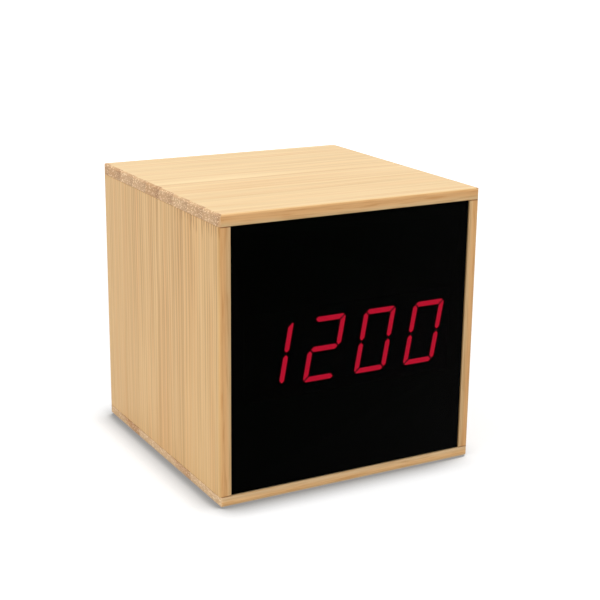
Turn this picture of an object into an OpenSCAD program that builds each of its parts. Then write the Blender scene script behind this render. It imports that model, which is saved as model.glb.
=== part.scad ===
// Bamboo cube alarm clock with a red four-digit display.
// Millimetres. X runs to the right along the front, Y to the back, Z up.
// The origin is the centre of the underside, which the clock stands on.

/* [Case] */
// Width of the box
case_w = 62; // [61:1:90]
// Depth of the box
case_d = 62; // [56:1:90]
// Height of the box
case_h = 62; // [61:1:90]
// Thickness of the bamboo boards
board_t = 2.5; // [2:0.1:3]
// Radius of the eased upright edges
edge_r = 0.8; // [0.3:0.1:1.5]
// Radius of the eased edges round the top
top_edge_r = 0.6; // [0.3:0.1:1.5]
// Radius of the eased edges round the underside
bottom_edge_r = 1.2; // [0.3:0.1:1.5]
// Chamfer of the side boards' ends, which shows as the joint line
joint_ease = 0.12; // [0.05:0.01:0.3]
// Side of the square corner posts
post_w = 6; // [5:0.1:6.2]

/* [Front] */
// Thickness of the smoked front sheet
panel_t = 1.2; // [1:0.1:3]
// Gap between the front sheet and the boards
panel_gap = 0.1; // [0.05:0.05:0.4]
// How far the front sheet lies behind the boards' front edges
panel_recess = 0.2; // [0:0.1:1]
// Chamfer of the front sheet's edges
panel_ease = 0.15; // [0.05:0.05:0.4]
// Thickness of the light mask behind the sheet
frame_t = 1.5; // [1:0.1:3]
// Gap between the light mask's window and the display
frame_gap = 0.2; // [0.1:0.05:0.5]

/* [Display] */
// Height of a digit
digit_h = 13.9; // [12:0.1:15]
// Width of a digit, before it is slanted
digit_w = 7.8; // [6:0.1:8.6]
// Distance from digit to digit
digit_pitch = 12.4; // [11.5:0.1:12.6]
// Width of a bar
stroke = 1.1; // [0.8:0.05:1.6]
// Gap between two bars that meet at a corner
bar_gap = 0.3; // [0.1:0.05:0.5]
// Gap between two bars that meet end to end
end_gap = 0.5; // [0.3:0.05:0.8]
// Cut across the digits' wide corners, upper left and lower right
wide_cut = 0.9; // [0.2:0.05:1]
// Cut across the digits' narrow corners, upper right and lower left
narrow_cut = 0.45; // [0.1:0.05:0.8]
// Lean of the digits, in degrees
slant = 10; // [0:1:14]
// Depth of the bars in the housing
bar_depth = 1.5; // [0.5:0.1:4]
// Housing beyond the outermost bars, left and right
housing_side = 1.2; // [0.8:0.1:1.5]
// Housing beyond the bars, above and below
housing_rim = 2.3; // [1.5:0.1:3]
// Depth of the housing
housing_d = 7; // [5:0.5:9]
// Gap between the front sheet and the display
display_gap = 0.1; // [0.05:0.05:0.4]
// Distance between the two rows of pins
pin_row = 15.24; // [13:0.01:16]
// Pins in a row
pins = 6; // [4:1:7]
// Distance from pin to pin
pin_pitch = 2.54; // [2:0.01:2.54]
// Diameter of a pin
pin_d = 0.5; // [0.4:0.05:0.7]
// Length of a pin behind the main board
pin_tail = 1.2; // [0.5:0.1:2]

/* [Circuit boards] */
// Thickness of both circuit boards
pcb_t = 1.6; // [0.8:0.1:2]
// Gap between the main board and the side boards
main_side_gap = 1.3; // [0.5:0.1:2]
// Gap between the main board and the corner posts, above and below
main_post_gap = 2.3; // [0.5:0.1:3]
// Diameter of the screw bosses
boss_d = 4.6; // [4.2:0.1:5]
// Distance from the main board's edges to its screws
main_boss_inset = 3; // [2.6:0.1:3.2]
// Distance from the switch board's edges to its screws
switch_boss_inset = 2.6; // [2.4:0.1:2.8]
// Diameter of the small screws
small_screw_d = 1.9; // [1.6:0.1:2.1]
// Length of the small screws under the head
small_screw_l = 5; // [4:0.1:5.5]
// Diameter of the small screws' heads
small_head_d = 3.6; // [3:0.1:4]
// Height of the small screws' heads
small_head_h = 1.3; // [1:0.1:1.6]
// Height of the switch board
switch_board_h = 13; // [12.4:0.1:13.4]
// Gap between the switch board and the posts and boards beside it
switch_board_gap = 0.7; // [0.4:0.1:0.9]

/* [Rear cover] */
// Thickness of the rear cover
cover_t = 2.4; // [2.2:0.1:3]
// Gap between the rear cover and the boards
cover_gap = 0.1; // [0.05:0.05:0.3]
// How far the rear cover lies inside the boards' rear edges
cover_recess = 1.2; // [1:0.1:3]
// Diameter of the cover screws
cover_screw_d = 2.2; // [1.8:0.1:2.6]
// Length of the cover screws under the head
cover_screw_l = 10; // [6:0.5:14]
// Diameter of the cover screws' heads
cover_head_d = 4.2; // [3.6:0.1:4.8]
// Height of the cover screws' heads
cover_head_h = 1.2; // [0.8:0.1:1.4]
// How far the cover screws' heads lie below the cover's face
cover_head_sink = 0.1; // [0:0.05:0.3]
// Clearance round a screw, a pin or a tab in its hole
screw_clear = 0.05; // [0.03:0.01:0.1]
// Depth of a screw's hole beyond its tip
hole_spare = 0.2; // [0.1:0.1:0.6]
// Diameter of the sound holes
sound_hole_d = 1.6; // [1:0.1:2.4]
// Number of sound holes
sound_holes = 7; // [3:1:9]
// Distance from sound hole to sound hole
sound_pitch = 3.2; // [2.8:0.1:4]

/* [Batteries] */
// Diameter of an AAA cell
cell_d = 10.5; // [10:0.1:10.6]
// Length of an AAA cell with its nub
cell_l = 44.5; // [43:0.1:44.8]
// Diameter of the nub
nub_d = 3.8; // [3:0.1:4.5]
// Length of the nub
nub_l = 1; // [0.8:0.1:1.5]
// Gap between two cells
cell_gap = 0.4; // [0.2:0.1:0.5]
// Gap between a cell and the tray, in front of it and behind it
cell_seat_gap = 0.2; // [0.1:0.05:0.3]
// Length of a contact spring under load
spring_l = 4.9; // [4.6:0.1:5.2]
// Diameter of a contact spring at the cell, over the middle of the wire
spring_small_d = 4.4; // [3.5:0.1:5]
// Diameter of a contact spring at its plate, over the middle of the wire
spring_large_d = 6.6; // [5.5:0.1:7.5]
// Diameter of the spring wire
spring_wire_d = 0.6; // [0.4:0.05:0.6]
// Turns of a contact spring
spring_turns = 3; // [2:1:3]
// Thickness of a contact plate
contact_t = 0.3; // [0.2:0.05:0.5]
// Distance from a contact plate's edge to the outside of the cells
contact_margin = 0.8; // [0.4:0.1:1.5]
// Width of a contact plate's solder tab
tab_w = 3; // [2:0.1:4]
// Length of a solder tab in front of the tray
tab_l = 2; // [1:0.1:3]
// Thickness of the tray's walls
tray_wall = 1.2; // [1:0.1:1.3]
// Gap between the tray and the lower corner posts
tray_post_gap = 0.5; // [0.3:0.1:0.8]

/* [Battery door] */
// Thickness of the battery door
door_t = 2; // [1.8:0.1:2.1]
// Gap round the battery door
door_gap = 0.25; // [0.2:0.05:0.35]
// Gap between the battery door and the rim it closes on
door_seat_gap = 0.1; // [0.05:0.05:0.2]
// Diameter of the hinge pins
hinge_pin_d = 1.2; // [0.8:0.1:1.3]
// Length of the hinge pins
hinge_pin_l = 1; // [0.8:0.1:1.1]
// Clearance round the hinge pins
hinge_clear = 0.05; // [0.02:0.01:0.1]
// Radius of the finger hollow above the door
scoop_r = 9; // [6:0.5:12]
// Height of the finger hollow above the door
scoop_rise = 1.7; // [1:0.1:2]
// Number of grip ribs on the door
grip_ribs = 4; // [2:1:6]
// Height of the grip ribs
grip_rib_h = 0.3; // [0.2:0.1:0.6]
// Width of the grip ribs, and half the distance from rib to rib
grip_rib_w = 0.8; // [0.5:0.1:1]
// Length of the grip ribs
grip_rib_l = 12; // [6:1:20]

/* [Buttons] */
// Distance from the top board down to the row of buttons
row_drop = 8.3; // [8:0.1:8.6]
// How far the middle button lies to the right of the middle
row_shift = 3.4; // [2.6:0.1:4]
// Diameter of a button
button_d = 6; // [4:0.1:6.5]
// Distance from button to button
button_pitch = 9.8; // [9.2:0.1:10.4]
// Clearance round a button
button_clear = 0.15; // [0.1:0.05:0.3]
// Height of a button above the rear cover
button_proud = 0.8; // [0.6:0.1:0.9]
// Radius of a button's rounded rim
button_round = 0.5; // [0.2:0.1:0.6]
// Travel of a button
button_travel = 0.5; // [0.2:0.1:0.6]
// Diameter of a button's flange
flange_d = 8; // [7.4:0.1:8.4]
// Thickness of a button's flange
flange_t = 1; // [0.6:0.1:1.4]
// Width of the mark in a button
mark_w = 2.4; // [1.6:0.1:3]
// Depth of the mark in a button
mark_depth = 0.25; // [0.1:0.05:0.4]
// Side of a switch body
switch_w = 6; // [5:0.1:6.2]
// Depth of a switch body
switch_d = 3.4; // [2.8:0.1:4]
// Diameter of a switch plunger
plunger_d = 3.4; // [2.5:0.1:3.6]
// Length of a switch plunger outside its switch
plunger_proud = 1.2; // [1:0.1:1.6]
// Clearance round a switch plunger
plunger_clear = 0.1; // [0.05:0.05:0.2]

/* [Power socket] */
// How far the socket lies to the left of the middle
socket_shift = 16.2; // [15.8:0.1:16.8]
// Width of the socket's mouth
socket_w = 7; // [6:0.1:7.4]
// Height of the socket's mouth
socket_h = 2; // [1.8:0.1:2.4]
// Chamfer of the mouth's two lower corners
socket_corner = 0.8; // [0.4:0.1:1]
// Thickness of the socket's shell
socket_wall = 0.3; // [0.2:0.05:0.4]
// How far the mouth lies inside the cover's outer face
socket_recess = 0.6; // [0.2:0.1:1]
// Clearance of the socket in the rear cover
socket_clear = 0.3; // [0.1:0.05:0.4]
// Width of the tongue in the socket
tongue_w = 5.4; // [4:0.1:5.6]
// Thickness of the tongue in the socket
tongue_t = 0.6; // [0.4:0.05:0.7]
// How far the tongue lies inside the mouth
tongue_recess = 1; // [0.5:0.1:2]
// Depth of the insulator at the bottom of the socket
socket_base = 2; // [1:0.1:3]

/* [Components and wires] */
// Width of the clock chip
chip_w = 18; // [10:0.5:20]
// Height of the clock chip
chip_h = 7.5; // [4:0.5:8]
// Thickness of the clock chip
chip_t = 2.3; // [1:0.1:3]
// Distance from the main board's left edge to the middle of the clock chip
chip_inset = 19; // [14:0.5:22]
// Distance from the main board's lower edge to the middle of the clock chip
chip_rise = 6; // [5:0.5:7]
// Diameter of the crystal can
crystal_d = 2.1; // [1.5:0.1:3]
// Length of the crystal can
crystal_l = 6.2; // [5:0.1:8]
// Distance from the main board's left edge to the middle of the crystal can
crystal_inset = 13; // [10:0.5:18]
// Distance from the main board's upper edge to the middle of the crystal can
crystal_drop = 7; // [6:0.5:8]
// Diameter of the buzzer
buzzer_d = 12; // [9:0.5:12]
// Depth of the buzzer
buzzer_l = 8.5; // [5:0.5:10]
// Diameter of the buzzer's sound hole
buzzer_hole_d = 2; // [1:0.1:3]
// Distance from the main board's right edge to the middle of the buzzer
buzzer_inset = 14; // [12:0.5:14.5]
// Distance from the main board's upper edge to the middle of the buzzer
buzzer_drop = 7.5; // [7:0.5:8]
// Diameter of the capacitor
capacitor_d = 6.3; // [4:0.1:8]
// Length of the capacitor
capacitor_l = 7.7; // [5:0.1:11]
// Distance from the main board's right edge to the middle of the capacitor
capacitor_inset = 13; // [10:0.5:16]
// Distance from the main board's lower edge to the middle of the capacitor
capacitor_rise = 7; // [6:0.5:8]
// Diameter of the battery leads
lead_d = 1.2; // [0.8:0.1:1.4]
// Distance from the switch board's side edges to the leads
lead_inset = 3.6; // [3:0.1:4.2]
// Distance from the switch board's lower edge to the leads
lead_rise = 2.9; // [2:0.1:3.4]
// Width of the ribbon cable
ribbon_w = 5; // [3:0.5:6]
// Thickness of the ribbon cable
ribbon_t = 0.8; // [0.5:0.1:1]
// Sag of the ribbon cable
ribbon_sag = 2; // [0:0.5:2.5]
// Distance from the main board's upper edge to the ribbon cable
ribbon_inset = 1.2; // [0.8:0.1:2]

/* [Hidden] */
$fn = 64;

// Colours of the materials
bamboo = [0.86, 0.71, 0.52];
smoked = [0.02, 0.02, 0.02];
glow_red = [0.75, 0.06, 0.16];
dim_red = [0.16, 0.05, 0.06];
black_abs = [0.07, 0.07, 0.08];
grey_abs = [0.25, 0.25, 0.26];
pcb_green = [0.05, 0.3, 0.16];
steel = [0.75, 0.75, 0.76];
tin = [0.82, 0.82, 0.8];
sleeve = [0.2, 0.22, 0.26];

// How far a cut runs past a face, and a joined piece into its neighbour
past = 1;

// The space inside the four boards
inner_w = case_w - 2 * board_t;
inner_h = case_h - 2 * board_t;
inner_z0 = board_t;
inner_z1 = case_h - board_t;
mid_z = case_h / 2;

// Layers from the front to the back
front_y = -case_d / 2;
back_y = case_d / 2;
panel_y0 = front_y + panel_recess;
panel_y1 = panel_y0 + panel_t;
frame_y1 = panel_y1 + frame_t;
display_y0 = panel_y1 + display_gap;
main_y0 = display_y0 + housing_d;
main_y1 = main_y0 + pcb_t;
cover_y1 = back_y - cover_recess;
cover_y0 = cover_y1 - cover_t;

// Front sheet and light mask
panel_w = inner_w - 2 * panel_gap;
panel_h = inner_h - 2 * panel_gap;

// Display housing, wide enough for the slanted digits
digits = 4;
slant_run = digit_h * tan(slant);
housing_w = (digits - 1) * digit_pitch + digit_w + slant_run + 2 * housing_side;
housing_h = digit_h + 2 * housing_rim;

// Bars of each digit that are lit, in the order a to g, for the time 12:00
LIT = [
    [0, 1, 1, 0, 0, 0, 0],
    [1, 1, 0, 1, 1, 0, 1],
    [1, 1, 1, 1, 1, 1, 0],
    [1, 1, 1, 1, 1, 1, 0],
];

// Main board between the corner posts
main_w = inner_w - 2 * main_side_gap;
main_h = inner_h - 2 * post_w - 2 * main_post_gap;
main_screw_x = main_w / 2 - main_boss_inset;
main_screw_z = main_h / 2 - main_boss_inset;
main_x0 = -main_w / 2;
main_x1 = main_w / 2;
main_z0 = mid_z - main_h / 2;
main_z1 = mid_z + main_h / 2;

// Corner posts and the cover screws in them
post_x = inner_w / 2 - post_w / 2;
post_z = [inner_z0 + post_w / 2, inner_z1 - post_w / 2];
screw_seat_y = cover_y1 - cover_head_sink - cover_head_h;

// Battery tray, above the lower posts
cells = 3;
cell_pitch = cell_d + cell_gap;
tray_w = cell_l + spring_l + 2 * contact_t;
tray_h = cells * cell_pitch;
tray_z0 = inner_z0 + post_w + tray_post_gap + tray_wall;
tray_z1 = tray_z0 + tray_h;
door_y0 = cover_y1 - door_t;
cell_y = door_y0 - door_seat_gap - cell_seat_gap - cell_d / 2;
tray_y0 = cell_y - cell_d / 2 - cell_seat_gap;
function cell_z(k) = tray_z0 + (k + 0.5) * cell_pitch;
// The side of a cell's positive end: the top and bottom cells to the right, the middle one to the left
function cell_side(k) = k == 1 ? -1 : 1;

// Battery door over the tray and its walls, hinged along its lower edge
door_w = tray_w + 2 * tray_wall;
door_z0 = tray_z0 - tray_wall;
door_z1 = tray_z1 + tray_wall;
hinge_y = cover_y1 - door_t / 2;
hinge_z = door_z0 + door_t / 2;

// Row of buttons and the socket, below the top board
row_z = inner_z1 - row_drop;
button_x = [row_shift + button_pitch, row_shift, row_shift - button_pitch];
socket_x = -socket_shift;
flange_y0 = cover_y0 - flange_t;
switch_y1 = flange_y0 - plunger_proud;
switch_y0 = switch_y1 - switch_d;
socket_y1 = cover_y1 - socket_recess;

// Switch board between the upper posts
switch_board_w = inner_w - 2 * post_w - 2 * switch_board_gap;
switch_board_y0 = switch_y0 - pcb_t;
switch_board_z1 = inner_z1 - switch_board_gap;
switch_board_z0 = switch_board_z1 - switch_board_h;
switch_screw_x = switch_board_w / 2 - switch_boss_inset;
switch_screw_z = switch_board_z1 - switch_boss_inset;

// Solder tabs of the two end contacts: the top cell's positive end and the bottom cell's negative end
tab_x = tray_w / 2 - contact_t / 2;
tab_y0 = tray_y0 - tray_wall - tab_l;
tabs = [[tab_x, cell_z(cells - 1)], [-tab_x, cell_z(0)]];

// Routes of the battery leads: straight out of a tab, up in front of the tray and back to the switch board
lead_x = switch_board_w / 2 - lead_inset;
lead_z = switch_board_z0 + lead_rise;
red_tab = [tab_x, tab_y0, tabs[0][1]];
red_pad = [lead_x, switch_board_y0, lead_z];
red_lead = [
    red_tab, red_tab + [0, -0.8, 0], red_tab + [0, -1.6, 0], red_tab + [-0.2, -2.8, 2],
    red_tab + [-1.2, -2.6, 5.5], red_pad + [3.5, -6.5, -1.2], red_pad + [0.8, -4, -0.1],
    red_pad + [0, -2.4, 0], red_pad + [0, -1.2, 0], red_pad,
];
black_tab = [-tab_x, tab_y0, tabs[1][1]];
black_pad = [-lead_x, switch_board_y0, lead_z];
black_lead = [
    black_tab, black_tab + [0, -0.8, 0], black_tab + [0, -1.6, 0], black_tab + [0.2, -2.8, 2],
    black_tab + [0.3, -3, 11], black_tab + [0.4, -3, 20], black_pad + [-5.2, -8.6, -6],
    black_pad + [-3.2, -6, -1.4], black_pad + [-0.8, -4, -0.1],
    black_pad + [0, -2.4, 0], black_pad + [0, -1.2, 0], black_pad,
];

// Shapes that several pieces share

// Rectangle with round corners, centred
module rounded_rectangle(w, h, r) {
    square([w - 2 * r, h], center = true);
    square([w, h - 2 * r], center = true);
    for (x = [-1, 1], y = [-1, 1]) translate([x * (w / 2 - r), y * (h / 2 - r)]) circle(r);
}

// Rectangle with chamfered corners, centred
function eased_rectangle(w, h, e) = [
    [-w / 2 + e, -h / 2], [w / 2 - e, -h / 2], [w / 2, -h / 2 + e], [w / 2, h / 2 - e],
    [w / 2 - e, h / 2], [-w / 2 + e, h / 2], [-w / 2, h / 2 - e], [-w / 2, -h / 2 + e],
];

// Prisms that run along Y and along X, with their outline upright
module along_y(length) rotate([90, 0, 0]) linear_extrude(length, center = true) children();
module along_x(length) rotate([90, 0, 90]) linear_extrude(length, center = true) children();

// Box from its lowest corner to its highest
module box(low, high) translate(low) cube(high - low);

// Cylinder along Y from y0 to y1
module rod(x, z, d, y0, y1) translate([x, y1, z]) rotate([90, 0, 0]) cylinder(d = d, h = y1 - y0);

// Cylinder along X, its middle at x = 0
module cross_rod(y, z, d, length)
    translate([0, y, z]) rotate([0, 90, 0]) cylinder(d = d, h = length, center = true);

// Plate that stands upright, its chamfered face at y = 0 and its plain face at y = t
module eased_plate(w, h, t, e) intersection() {
    linear_extrude(h, center = true)
        polygon([[-w / 2 + e, 0], [w / 2 - e, 0], [w / 2, e], [w / 2, t], [-w / 2, t], [-w / 2, e]]);
    along_x(w)
        polygon([[0, -h / 2 + e], [e, -h / 2], [t, -h / 2], [t, h / 2], [e, h / 2], [0, h / 2 - e]]);
}

// Pan-head screw along -Y with its head's seat at y = 0 and a cross in its head
module screw(d, l, head_d, head_h) {
    slot_l = head_d * 0.65;
    slot_w = head_d * 0.14;
    rod(0, 0, d, -l, 0);
    difference() {
        rod(0, 0, head_d, 0, head_h);
        for (turn = [0, 90])
            rotate([0, turn, 0])
                box([-slot_l / 2, head_h / 2, -slot_w / 2], [slot_l / 2, head_h + past, slot_w / 2]);
    }
}

// Unit vector
function unit(v) = v / norm(v);

// Tangents of a run of points
function tangents(p) = [
    for (i = [0 : len(p) - 1]) unit(p[min(i + 1, len(p) - 1)] - p[max(i - 1, 0)])
];

// Tube along points, with one side direction for each point
module tube(points, sides_at, r, sides) {
    along = tangents(points);
    n = len(points);
    rings = [
        for (i = [0 : n - 1])
            let (b = unit(cross(along[i], sides_at[i])), a = cross(b, along[i]))
                for (k = [0 : sides - 1])
                    points[i] + r * (cos(360 * k / sides) * a + sin(360 * k / sides) * b)
    ];
    walls = [
        for (i = [0 : n - 2], k = [0 : sides - 1])
            let (a = i * sides + k, b = i * sides + (k + 1) % sides)
                each [[a, a + sides, b], [b, a + sides, b + sides]]
    ];
    start = [for (k = [0 : sides - 1]) k];
    finish = [for (k = [sides - 1 : -1 : 0]) (n - 1) * sides + k];
    polyhedron(rings, concat([start], walls, [finish]), convexity = 8);
}

// Smooth curve through points, with a number of steps from each to the next
function through(p, steps) = concat(
    [for (i = [0 : len(p) - 2], s = [0 : steps - 1])
        let (t = s / steps, a = p[max(i - 1, 0)], b = p[i], c = p[i + 1], d = p[min(i + 2, len(p) - 1)])
            0.5 * (2 * b + (c - a) * t + (2 * a - 5 * b + 4 * c - d) * t * t
                + (3 * b - a - 3 * c + d) * t * t * t)],
    [p[len(p) - 1]]
);

// Bamboo box

// Outer form of the whole box, with its upright edges eased and its level edges rounded by r
module case_form(r) intersection() {
    linear_extrude(case_h) rounded_rectangle(case_w, case_d, edge_r);
    translate([0, 0, mid_z]) along_y(case_d) rounded_rectangle(case_w, case_h, r);
    translate([0, 0, mid_z]) along_x(case_w) rounded_rectangle(case_d, case_h, r);
}

module top_board() color(bamboo) intersection() {
    case_form(top_edge_r);
    box([-case_w, -case_d, inner_z1], [case_w, case_d, case_h]);
}

module bottom_board() color(bamboo) intersection() {
    case_form(bottom_edge_r);
    box([-case_w, -case_d, 0], [case_w, case_d, inner_z0]);
}

// Board on the left, between the top and the bottom board, with eased ends
module side_board() color(bamboo) intersection() {
    box([-case_w / 2, -case_d, inner_z0], [-inner_w / 2, case_d, inner_z1]);
    linear_extrude(case_h) rounded_rectangle(case_w, case_d, edge_r);
    translate([0, 0, mid_z]) along_y(case_d) polygon(eased_rectangle(case_w, inner_h, joint_ease));
    translate([0, 0, mid_z]) along_x(case_w) polygon(eased_rectangle(case_d, inner_h, joint_ease));
}

module left_board() side_board();

module right_board() mirror([1, 0, 0]) side_board();

// Posts glued into the corners, which stiffen the box and take the cover screws
module corner_posts() color(bamboo)
    for (x = [-post_x, post_x], z = post_z)
        difference() {
            box([x - post_w / 2, frame_y1, z - post_w / 2], [x + post_w / 2, cover_y0, z + post_w / 2]);
            rod(x, z, cover_screw_d + 2 * screw_clear, screw_seat_y - cover_screw_l - hole_spare, back_y);
        }

// Front sheet and display

module display_panel() color(smoked)
    translate([0, panel_y0, mid_z]) eased_plate(panel_w, panel_h, panel_t, panel_ease);

// Light mask glued behind the sheet, with a window for the display and bosses for the main board
module display_frame() color(black_abs) difference() {
    union() {
        box([-panel_w / 2, panel_y1, mid_z - panel_h / 2], [panel_w / 2, frame_y1, mid_z + panel_h / 2]);
        for (x = [-main_screw_x, main_screw_x], z = [-main_screw_z, main_screw_z])
            rod(x, mid_z + z, boss_d, panel_y1 + frame_t / 2, main_y0);
    }
    box([-housing_w / 2 - frame_gap, panel_y1 - past, mid_z - housing_h / 2 - frame_gap],
        [housing_w / 2 + frame_gap, frame_y1 + past, mid_z + housing_h / 2 + frame_gap]);
    for (x = [-main_screw_x, main_screw_x], z = [-main_screw_z, main_screw_z])
        rod(x, mid_z + z, small_screw_d + 2 * screw_clear,
            main_y1 - small_screw_l - hole_spare, main_y0 + past);
}

// Outline of the upper right bar about a digit's centre, with a cut across its outer corner
function side_bar(cut) = let (
    w = digit_w / 2, h = digit_h / 2 - bar_gap * sqrt(0.5), t = stroke, e = end_gap / 2
) [
    [w, h - cut], [w, e + t / 2], [w - t / 2, e], [w - t, e + t / 2], [w - t, h - t],
    [w - cut / 2, h - cut / 2],
];

// Outlines of the seven bars of a digit, a to g, about its centre
function bars() = let (
    w = digit_w / 2 - bar_gap * sqrt(0.5), h = digit_h / 2, t = stroke,
    top = [
        [-w + wide_cut, h], [w - narrow_cut, h], [w - narrow_cut / 2, h - narrow_cut / 2],
        [w - t, h - t], [-w + t, h - t], [-w + wide_cut / 2, h - wide_cut / 2],
    ],
    middle = [
        [-w + t / 2, 0], [-w + t, t / 2], [w - t, t / 2],
        [w - t / 2, 0], [w - t, -t / 2], [-w + t, -t / 2],
    ]
) [
    top, side_bar(narrow_cut), turned(side_bar(wide_cut), 1, -1), turned(top, -1, -1),
    turned(side_bar(narrow_cut), -1, -1), turned(side_bar(wide_cut), -1, 1), middle,
];

// Outline mirrored in X, in Z or in both
function turned(outline, x, z) = [for (p = outline) [p[0] * x, p[1] * z]];

// Outline with the lean of the digits
function leaning(outline) = [for (p = outline) [p[0] + p[1] * tan(slant), p[1]]];

// Bars whose state is in the list, 1 for lit and 0 for unlit, as prisms behind the front sheet
module digit_bars(states)
    for (digit = [0 : digits - 1], bar = [0 : 6])
        if (len(search(LIT[digit][bar], states)) > 0)
            translate([(digit - (digits - 1) / 2) * digit_pitch, display_y0 + bar_depth / 2, mid_z])
                along_y(bar_depth) polygon(leaning(bars()[bar]));

module led_housing() color(grey_abs) difference() {
    box([-housing_w / 2, display_y0, mid_z - housing_h / 2],
        [housing_w / 2, main_y0, mid_z + housing_h / 2]);
    digit_bars([0, 1]);
}

module lit_segments() color(glow_red) digit_bars([1]);

module unlit_segments() color(dim_red) digit_bars([0]);

// Places of the display's pins
function pin_places() = [
    for (z = [-0.5, 0.5], i = [0 : pins - 1]) [(i - (pins - 1) / 2) * pin_pitch, mid_z + z * pin_row]
];

module display_pins() color(tin)
    for (p = pin_places()) rod(p[0], p[1], pin_d, main_y0, main_y1 + pin_tail);

// Main board and what is on it

module main_board() color(pcb_green) difference() {
    box([main_x0, main_y0, main_z0], [main_x1, main_y1, main_z1]);
    for (p = pin_places()) rod(p[0], p[1], pin_d + 2 * screw_clear, main_y0 - past, main_y1 + past);
    for (x = [-main_screw_x, main_screw_x], z = [-main_screw_z, main_screw_z])
        rod(x, mid_z + z, small_screw_d + 2 * screw_clear, main_y0 - past, main_y1 + past);
}

module board_screws() color(steel)
    for (x = [-main_screw_x, main_screw_x], z = [-main_screw_z, main_screw_z])
        translate([x, main_y1, mid_z + z])
            screw(small_screw_d, small_screw_l, small_head_d, small_head_h);

module clock_chip() color(black_abs)
    translate([main_x0 + chip_inset - chip_w / 2, main_y1, main_z0 + chip_rise - chip_h / 2])
        cube([chip_w, chip_t, chip_h]);

module crystal_can() color(steel)
    translate([main_x0 + crystal_inset, 0, 0])
        cross_rod(main_y1 + crystal_d / 2, main_z1 - crystal_drop, crystal_d, crystal_l);

module buzzer() color(black_abs) difference() {
    x = main_x1 - buzzer_inset;
    z = main_z1 - buzzer_drop;
    buzzer_y1 = main_y1 + buzzer_l;
    rod(x, z, buzzer_d, main_y1, buzzer_y1);
    rod(x, z, buzzer_hole_d, main_y1 + buzzer_l / 2, buzzer_y1 + past);
}

module capacitor() color(steel)
    rod(main_x1 - capacitor_inset, main_z0 + capacitor_rise, capacitor_d, main_y1, main_y1 + capacitor_l);

// Flat cable that sags between the two boards
module ribbon_cable() color(grey_abs) {
    steps = 24;
    run = switch_board_y0 - main_y1;
    ribbon_z = main_z1 - ribbon_inset - ribbon_t;
    under = [
        for (i = [0 : steps])
            [main_y1 + run * i / steps, ribbon_z - ribbon_sag * (1 - cos(360 * i / steps)) / 2]
    ];
    over = [for (i = [steps : -1 : 0]) under[i] + [0, ribbon_t]];
    along_x(ribbon_w) polygon(concat(under, over));
}

// Rear cover and battery compartment

// Rear cover: plate with the battery tray, the door's rebate, the button holes and the bosses
module rear_cover() color(black_abs) difference() {
    union() {
        box([-inner_w / 2 + cover_gap, cover_y0, inner_z0 + cover_gap],
            [inner_w / 2 - cover_gap, cover_y1, inner_z1 - cover_gap]);
        box([-door_w / 2, tray_y0 - tray_wall, door_z0], [door_w / 2, cover_y0 + past, door_z1]);
        for (x = [-switch_screw_x, switch_screw_x])
            rod(x, switch_screw_z, boss_d, switch_y0, cover_y0 + past);
    }
    box([-tray_w / 2, tray_y0, tray_z0], [tray_w / 2, back_y, tray_z1]);
    box([-door_w / 2 - door_gap, door_y0 - door_seat_gap, door_z0 - door_gap],
        [door_w / 2 + door_gap, back_y, door_z1 + door_gap]);
    cross_rod(hinge_y, hinge_z, hinge_pin_d + 2 * hinge_clear, door_w + 2 * hinge_pin_l + 2 * door_gap);
    rod(0, door_z1 + door_gap + scoop_rise - scoop_r, 2 * scoop_r, cover_y1 - cover_t / 2, back_y);
    for (x = button_x) rod(x, row_z, button_d + 2 * button_clear, cover_y0 - past, back_y);
    translate([socket_x, cover_y1, row_z]) along_y(2 * cover_t + 2 * past)
        polygon(socket_outline(socket_wall + socket_clear));
    for (x = [-post_x, post_x], z = post_z) {
        rod(x, z, cover_screw_d + 2 * screw_clear, cover_y0 - past, back_y);
        rod(x, z, cover_head_d + 2 * screw_clear, screw_seat_y, back_y);
    }
    for (x = [-switch_screw_x, switch_screw_x])
        rod(x, switch_screw_z, small_screw_d + 2 * screw_clear,
            switch_y0 - past, switch_board_y0 + small_screw_l + hole_spare);
    for (i = [0 : sound_holes - 1])
        rod((i - (sound_holes - 1) / 2) * sound_pitch, post_z[0], sound_hole_d, cover_y0 - past, back_y);
    for (tab = tabs) solder_tab(tab, tab_y0, tray_y0 + past, screw_clear);
}

module cover_screws() color(steel)
    for (x = [-post_x, post_x], z = post_z)
        translate([x, screw_seat_y, z]) screw(cover_screw_d, cover_screw_l, cover_head_d, cover_head_h);

// Battery door: a plate with a round lower edge, two hinge pins and grip ribs
module battery_door() color(black_abs) {
    box([-door_w / 2, door_y0, hinge_z], [door_w / 2, cover_y1, door_z1]);
    cross_rod(hinge_y, hinge_z, door_t, door_w);
    cross_rod(hinge_y, hinge_z, hinge_pin_d, door_w + 2 * hinge_pin_l);
    for (i = [1 : grip_ribs])
        box([-grip_rib_l / 2, cover_y1 - door_t / 2, door_z1 - (2 * i + 1) * grip_rib_w],
            [grip_rib_l / 2, cover_y1 + grip_rib_h, door_z1 - 2 * i * grip_rib_w]);
}

// Cells, head to tail
module aaa_cells() color(sleeve)
    for (k = [0 : cells - 1])
        translate([0, cell_y, cell_z(k)]) rotate([0, 90 * cell_side(k), 0])
            translate([0, 0, tray_w / 2 - contact_t - cell_l]) {
                cylinder(d = cell_d, h = cell_l - nub_l);
                cylinder(d = nub_d, h = cell_l);
            }

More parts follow.
